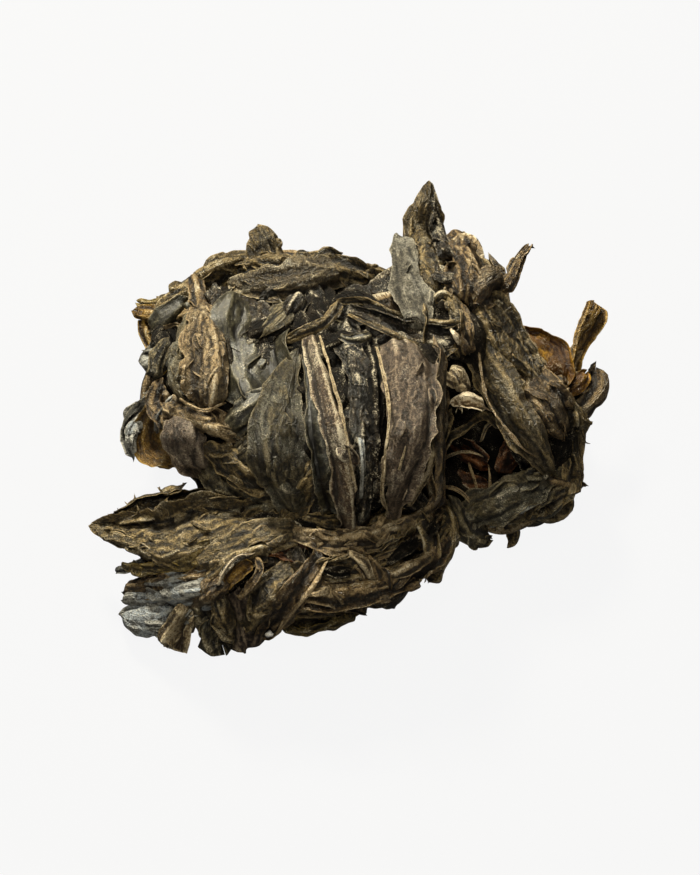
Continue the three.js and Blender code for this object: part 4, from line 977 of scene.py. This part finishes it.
# Each small fold starts on a frond's face and runs near its length, on the face's own surface, leaning over.
def smallFolds():
    draws = np.random.default_rng(small["seed"])
    made = {}
    for name, shell in frontShells.items():
        frond, top, normals = frontFronds[name], shell["top"], shell["normals"]
        rows, columns = top.shape[:2]
        if rows < small["fewestRows"] or columns < small["fewestColumns"]:
            continue
        share = small["onPlain"] if frond.get("plain") or frond["look"] in small["smooth"] else 1.0
        area = rows * columns * leaf["spacing"] ** 2
        for fold in range(int(round(area * small["perArea"] * share))):
            length, half = draws.uniform(*small["length"]), draws.uniform(*small["half"])
            row = draws.uniform(*small["rowsFrom"]) * rows
            column = draws.uniform(*small["columnsFrom"]) * columns
            turn = draws.uniform(-1, 1) * small["turn"]
            steps = np.linspace(0, length, 4) / leaf["spacing"]
            rowsAt = np.clip(row + steps * math.cos(turn), 1, rows - 2).astype(int)
            columnsAt = np.clip(column + steps * math.sin(turn), 1, columns - 2).astype(int)
            if len(set(zip(rowsAt, columnsAt))) < len(steps):
                continue
            raised = draws.uniform(*small["raisedFrom"], 4)[:, None] * small["raised"]
            facing = normals[rowsAt, columnsAt]
            points = top[rowsAt, columnsAt] + raised * facing
            settings = {
                "half": [small["endShare"] * half, half, half, small["endShare"] * half],
                "curl": draws.uniform(*small["curl"]), "lean": draws.uniform(-1, 1) * small["lean"],
                "pleats": 1, "spacing": small["spacing"], "crumple": small["crumple"],
            }
            number = 2000 + sum(len(shells) for shells in made.values())
            made.setdefault(frond["look"], []).append(frondShell(points, facing.mean(0), settings, number))
    return made


for look, shells in smallFolds().items():
    addPiece("smallFolds_" + look, meshOf("smallFolds_" + look, shells), look)
print("small folds made, triangles", triangleCount)

# ---- the bulk, near black as painted shade between the folds ----
core = {
    "sides": 400, "rings": 220,
    "middle": (-0.16, 7.54, 24),
    "shrink": 5.0,  # mm inside the lumps' hull
    "inHollow": 1.0,  # and inside the hollow's edge
    "below": 5.5,  # mm that it stays under the fronds
    "facing": 3,  # how soon what turns to the eye is raised in full
    "creases": ((1.8, 15), (1.0, 6.5), (0.5, 2.9)),  # height and size, mm
    "relief": 3.0,  # relief is 1 for the material at this height, mm
    "flatBelow": 0.35, "flatAt": 0.9, "dents": 0.55, "dentsFrom": (0.3, 3.0),  # the underside, mm
    "tintSize": 30,  # mm
}


# From the middle, the distance to the furthest lump in each direction or to the hollow, less the shrink.
# What faces the eye is then raised under the fronds, and all of it creased. The table cuts it flat, with the
# creases left as dents above the table.
def bulkShell():
    middle = np.array(core["middle"])
    turns = np.linspace(0, 2 * math.pi, core["sides"] + 1)[:-1]
    turn, drop = np.meshgrid(turns, np.linspace(0, math.pi, core["rings"] + 1)[1:-1], indexing="ij")
    ways = np.stack([np.cos(turn) * np.sin(drop), np.sin(turn) * np.sin(drop), np.cos(drop)], axis=-1)
    ways = ways.reshape(-1, 3)
    hollowAt = entersHollow(middle, ways)
    distance = np.minimum(leavesBulk(middle[None], ways) - core["shrink"], hollowAt - core["inHollow"])
    points = middle + ways * distance[:, None]
    facing = np.clip((ways @ viewEye) * core["facing"], 0, 1)
    raised = np.maximum(raisedUnder(acrossView(points)) - core["below"] + core["shrink"], 0)
    points = points + viewEye * (raised * facing * np.isinf(hollowAt))[:, None]
    crumple = sum(rise * creases(*(points / size).T) for rise, size in core["creases"])
    points = points + ways * crumple[:, None]
    dented = np.clip(core["flatAt"] - core["dents"] * crumple, *core["dentsFrom"])
    points[:, 2] = np.where(points[:, 2] < core["flatBelow"], dented, points[:, 2])
    relief = np.clip(crumple / core["relief"], -1, 1)
    return points.reshape(*turn.shape, 3), relief.reshape(turn.shape)


# The bulk as a closed mesh: rings round it, whose ends meet, and a fan of faces at either pole.
def bulkMesh(name):
    grid, relief = bulkShell()
    sides, rings = relief.shape
    index = np.arange(sides * rings).reshape(sides, rings)
    beyond = np.roll(index, -1, axis=0)
    quads = np.stack([index[:, :-1], index[:, 1:], beyond[:, 1:], beyond[:, :-1]], axis=-1).reshape(-1, 4)
    poles = np.stack([grid[:, 0].mean(0), grid[:, -1].mean(0)])
    places = np.concatenate([grid.reshape(-1, 3), poles]) / perMetre
    top = np.stack([np.full(sides, sides * rings), index[:, 0], beyond[:, 0]], axis=1)
    base = np.stack([np.full(sides, sides * rings + 1), beyond[:, -1], index[:, -1]], axis=1)
    mesh = bpy.data.meshes.new(name)
    mesh.from_pydata(places.tolist(), [], quads.tolist() + top.tolist() + base.tolist())
    return withValues(mesh, {
        "relief": np.append(relief.ravel(), [0, 0]),
        "rim": np.zeros(len(places)),
        "tint": 2 * unevenness(*(places * perMetre / core["tintSize"]).T),
        "grain": places * perMetre,
    })


# its near-black finish is painted shade in the gaps between the fronds
addPiece("innerFolds", bulkMesh("innerFolds"), "shade")
print("bulk made, triangles", triangleCount)

# ---- fronds between the bulk and those in front ----
filler = {
    "count": 110, "acrossFrom": (-72, 80), "upFrom": (-72, 58),  # where they start across the front view, mm
    "length": (20, 42), "half": (5, 9), "endShare": 0.4, "bends": 1.1,  # mm, mm, share and radians
    "curl": (50, 110), "pleats": (1, 4), "under": 4.2, "spacing": 0.9, "seed": 5,
    "inBulk": 0.78,  # how near the middle of a lump they pass, squared, as a share of its size
    "offHollow": 1.25,  # and how far from the hollow's
}


# Fronds across the front view that start anywhere, head anywhere and bend, where there is bulk under them.
def fillerShells():
    draws = np.random.default_rng(filler["seed"])
    shells = []
    while len(shells) < filler["count"]:
        start = np.array([draws.uniform(*filler["acrossFrom"]), draws.uniform(*filler["upFrom"])])
        heading = draws.uniform(0, 2 * math.pi)
        length, half = draws.uniform(*filler["length"]), draws.uniform(*filler["half"])
        turns = heading + np.linspace(0, draws.uniform(-filler["bends"], filler["bends"]), 4)
        steps = np.stack([np.cos(turns), np.sin(turns)], axis=1) * length / 4
        places = start + np.cumsum(steps, axis=0)
        starts = inViewPlane(places)
        nearest = besideBall((starts[:, None] - lumpMiddles) / lumpSizes, viewEye / lumpSizes).min(1)
        fromHollow = besideBall((starts - hollowMiddle) / hollowSize, viewEye / hollowSize)
        if (nearest > filler["inBulk"]).any() or (fromHollow < filler["offHollow"]).any():
            continue
        path = np.column_stack([places, raisedUnder(places) - filler["under"]])
        settings = {
            "half": [filler["endShare"] * half, half, half, filler["endShare"] * half],
            "curl": draws.uniform(*filler["curl"]), "pleats": int(draws.integers(*filler["pleats"])),
            "spacing": filler["spacing"],
        }
        shells.append(frondShell(seen(path), viewEye, settings, 500 + len(shells)))
    return shells


shells = fillerShells()
# their dark and near-black finishes are painted shade between the fronds
for name, picked, look in (("foldsBetween", shells[:50], "dark"), ("darkFoldsBetween", shells[50:], "shade")):
    addPiece(name, meshOf(name, picked), look)
print("filler made, triangles", triangleCount)

# ---- fronds round the sides and the back ----
sides = {
    "rows": ((8, 0), (19, 17), (31, 4), (44, 22), (56, 9)),  # height and where the row starts, mm and degrees
    "apart": 27, "span": 44, "spanVaries": (0.8, 1.25),  # degrees from start to start, and how far they reach
    "rise": 7, "riseVaries": 1.4, "loose": 3, "heightFrom": (3.5, 66),  # mm, share, mm, mm
    "lift": -2.4, "liftVaries": (-1.0, 1.6),  # mm off the bulk
    "half": (3.0, 7.5, 8.0, 3.0), "halfVaries": (0.75, 1.2), "curl": (60, 120), "pleats": (2, 5),
    "faces": (0, 0, 0.35),  # how much their faces turn up
    "highest": 50, "sunk": 4.0,  # those that reach further up across the front view lie this much deeper, mm
    "tiers": (12, 28),  # fronds in rows above these heights, mm, are left out where they
    "reach": 24, "front": 20,  # reach further than this towards the eye, or come in front of this, mm
    "looks": ("olive", "brown", "grey", "olive", "dark", "tan"),
    "spacing": 0.85, "seed": 8,
}


# A frond along the bulk's outside from one bearing to the next, rising or falling.
def sideFrond(bearing, height, draws, number):
    shares = np.linspace(0, 1, 4)
    bearings = np.radians(bearing + shares * sides["span"] * draws.uniform(*sides["spanVaries"]))
    ways = np.stack([np.cos(bearings), np.sin(bearings), 0 * bearings], axis=1)
    rise = draws.uniform(-sides["riseVaries"], sides["riseVaries"]) * sides["rise"]
    heights = height + draws.uniform(-sides["loose"], sides["loose"]) + rise * (shares - 0.5)
    starts = np.column_stack([np.full((4, 2), core["middle"][:2]), np.clip(heights, *sides["heightFrom"])])
    lift = sides["lift"] + draws.uniform(*sides["liftVaries"], 4)
    points = starts + ways * (leavesBulk(starts, ways) + lift)[:, None]
    if acrossView(points)[:, 1].max() > sides["highest"]:
        points = points - sides["sunk"] * ways
    settings = {
        "half": np.array(sides["half"]) * draws.uniform(*sides["halfVaries"]),
        "curl": draws.uniform(*sides["curl"]), "pleats": int(draws.integers(*sides["pleats"])),
        "spacing": sides["spacing"],
    }
    return points, frondShell(points, ways[1] + ways[2] + np.array(sides["faces"]), settings, number)


# Rows of them all the way round, but not where the front's own fronds cover what faces the eye.
def sideShells():
    draws = np.random.default_rng(sides["seed"])
    shells = []
    low, high = sides["tiers"]
    for height, begins in sides["rows"]:
        for bearing in np.arange(begins, begins + 359, sides["apart"]):
            points, shell = sideFrond(bearing, height, draws, 800 + len(shells))
            towardsEye = ((points - np.array(core["middle"])) @ viewEye).max()
            inFront = (points[:, 1] < sides["front"]).any()
            if not (height > low and towardsEye > sides["reach"] or height > high and inFront):
                shells.append(shell)
    return shells


shells = sideShells()
for order, look in enumerate(sides["looks"]):
    name = "sideFronds" + str(order + 1)
    addPiece(name, meshOf(name, shells[order :: len(sides["looks"])]), look)
print("side fronds made:", len(shells), "triangles", triangleCount)

# ---- walls that face to the right, which the front view sees edge on ----
# Each frond runs up across the front view from low to high. right, low and high are across that view, depths
# are towards the eye from its middle plane, all in mm.
walls = {
    "besideTongue": {"look": "brown", "right": 31, "low": -34, "high": 24, "depths": (30, 23, 15, 7, -1)},
    "besideMound": {"look": "olive", "right": 27, "low": 2, "high": 40, "depths": (22, 14, 6, -2)},
    "besideBand": {"look": "dark", "right": 30, "low": -52, "high": -24, "depths": (8, 1, -6)},
    "besideHollow": {"look": "brown", "right": 52, "low": 20, "high": 52, "depths": (8, 1, -6, -13)},
}
wallFronds = {
    "half": (3.0, 5.5, 6.0, 3.0), "curl": 60, "pleats": 3, "spacing": 0.85,
    "leansBack": 0.06,  # how far a wall goes left for each mm of depth
    "faces": viewRight + 0.2 * viewEye,
}
wallDraws = np.random.default_rng(14)
for name, wall in walls.items():
    shells = []
    for depth in wall["depths"]:
        ups = np.linspace(wall["low"], wall["high"], 4) + wallDraws.uniform(-4, 4)
        right = wall["right"] - wallFronds["leansBack"] * (wall["depths"][0] - depth)
        rights = right + wallDraws.uniform(-1, 1, 4)
        depths = depth + wallDraws.uniform(-2, 2, 4)
        points = inViewPlane(np.column_stack([rights, ups])) + depths[:, None] * viewEye
        shells.append(frondShell(points, wallFronds["faces"], wallFronds, 900 + 10 * len(name) + len(shells)))
    addPiece(name, meshOf(name, shells), wall["look"])
print("walls made, triangles", triangleCount)

# ---- where it stands, the light and the camera ----
ground = {"size": 6.0, "colour": (0.012, 0.012, 0.012, 1), "roughness": 0.9, "shine": 0.1, "glow": 0.9}
bpy.ops.mesh.primitive_grid_add(x_subdivisions=2, y_subdivisions=2, size=ground["size"], location=(0, 0, 0))
floor = bpy.context.object
floor.name = "floor"
paint = bpy.data.materials.new("pale_floor")
paint.use_nodes = True
base = paint.node_tree.nodes["Principled BSDF"]
base.inputs["Base Color"].default_value = ground["colour"]
base.inputs["Roughness"].default_value = ground["roughness"]
base.inputs["Specular IOR Level"].default_value = ground["shine"]
base.inputs["Emission Color"].default_value = (1, 1, 1, 1)
base.inputs["Emission Strength"].default_value = ground["glow"]
floor.data.materials.append(paint)
floor.visible_diffuse = floor.visible_glossy = False  # its glow doesn't fill the folds' shadows

# where each hangs and its size, m; its power, watts; all aim just above the table
lights = {
    "windowLight": {"at": (-0.25, 0.75, 0.8), "size": 0.2, "power": 32, "colour": (1.0, 0.93, 0.74)},
    "skyLight": {"at": (-0.1, -0.15, 1.3), "size": 0.35, "power": 7.5, "colour": (1.0, 0.93, 0.74)},
    "fillLight": {"at": (-0.1, -0.95, 0.75), "size": 0.3, "power": 2.6, "colour": (1.0, 0.93, 0.76)},
}
lightsAim = np.array([0, 0, 0.03])
for name, light in lights.items():
    lamp = bpy.data.lights.new(name, "AREA")
    lamp.size = light["size"]
    lamp.energy = light["power"]
    lamp.color = light["colour"]
    holder = bpy.data.objects.new(name, lamp)
    bpy.context.scene.collection.objects.link(holder)
    holder.location = light["at"]
    x, y, z = lightsAim - np.array(light["at"])
    holder.rotation_euler = (math.atan2(math.hypot(x, y), -z), 0, math.atan2(x, -y) + math.pi)

room = {"colour": (1.0, 0.99, 0.97, 1), "strength": 0.04}
world = bpy.data.worlds.new("paleRoom")
bpy.context.scene.world = world
world.use_nodes = True
world.node_tree.nodes["Background"].inputs["Color"].default_value = room["colour"]
world.node_tree.nodes["Background"].inputs["Strength"].default_value = room["strength"]

lens = bpy.data.cameras.new("frontCamera")
lens.lens = view["lens"]
lens.sensor_width = view["sensor"]
lens.clip_end = 20
camera = bpy.data.objects.new("frontCamera", lens)
bpy.context.scene.collection.objects.link(camera)
distance = view["height"] / perMetre * view["lens"] / view["sensor"]
aim = (viewMiddle - view["aimBelow"] * viewUp) / perMetre
camera.location = aim + distance * viewEye
camera.rotation_euler = (math.pi / 2 - tilt, 0, 0)
bpy.context.scene.camera = camera
bpy.context.scene.view_settings.view_transform = "Standard"

print("triangles in all:", triangleCount)
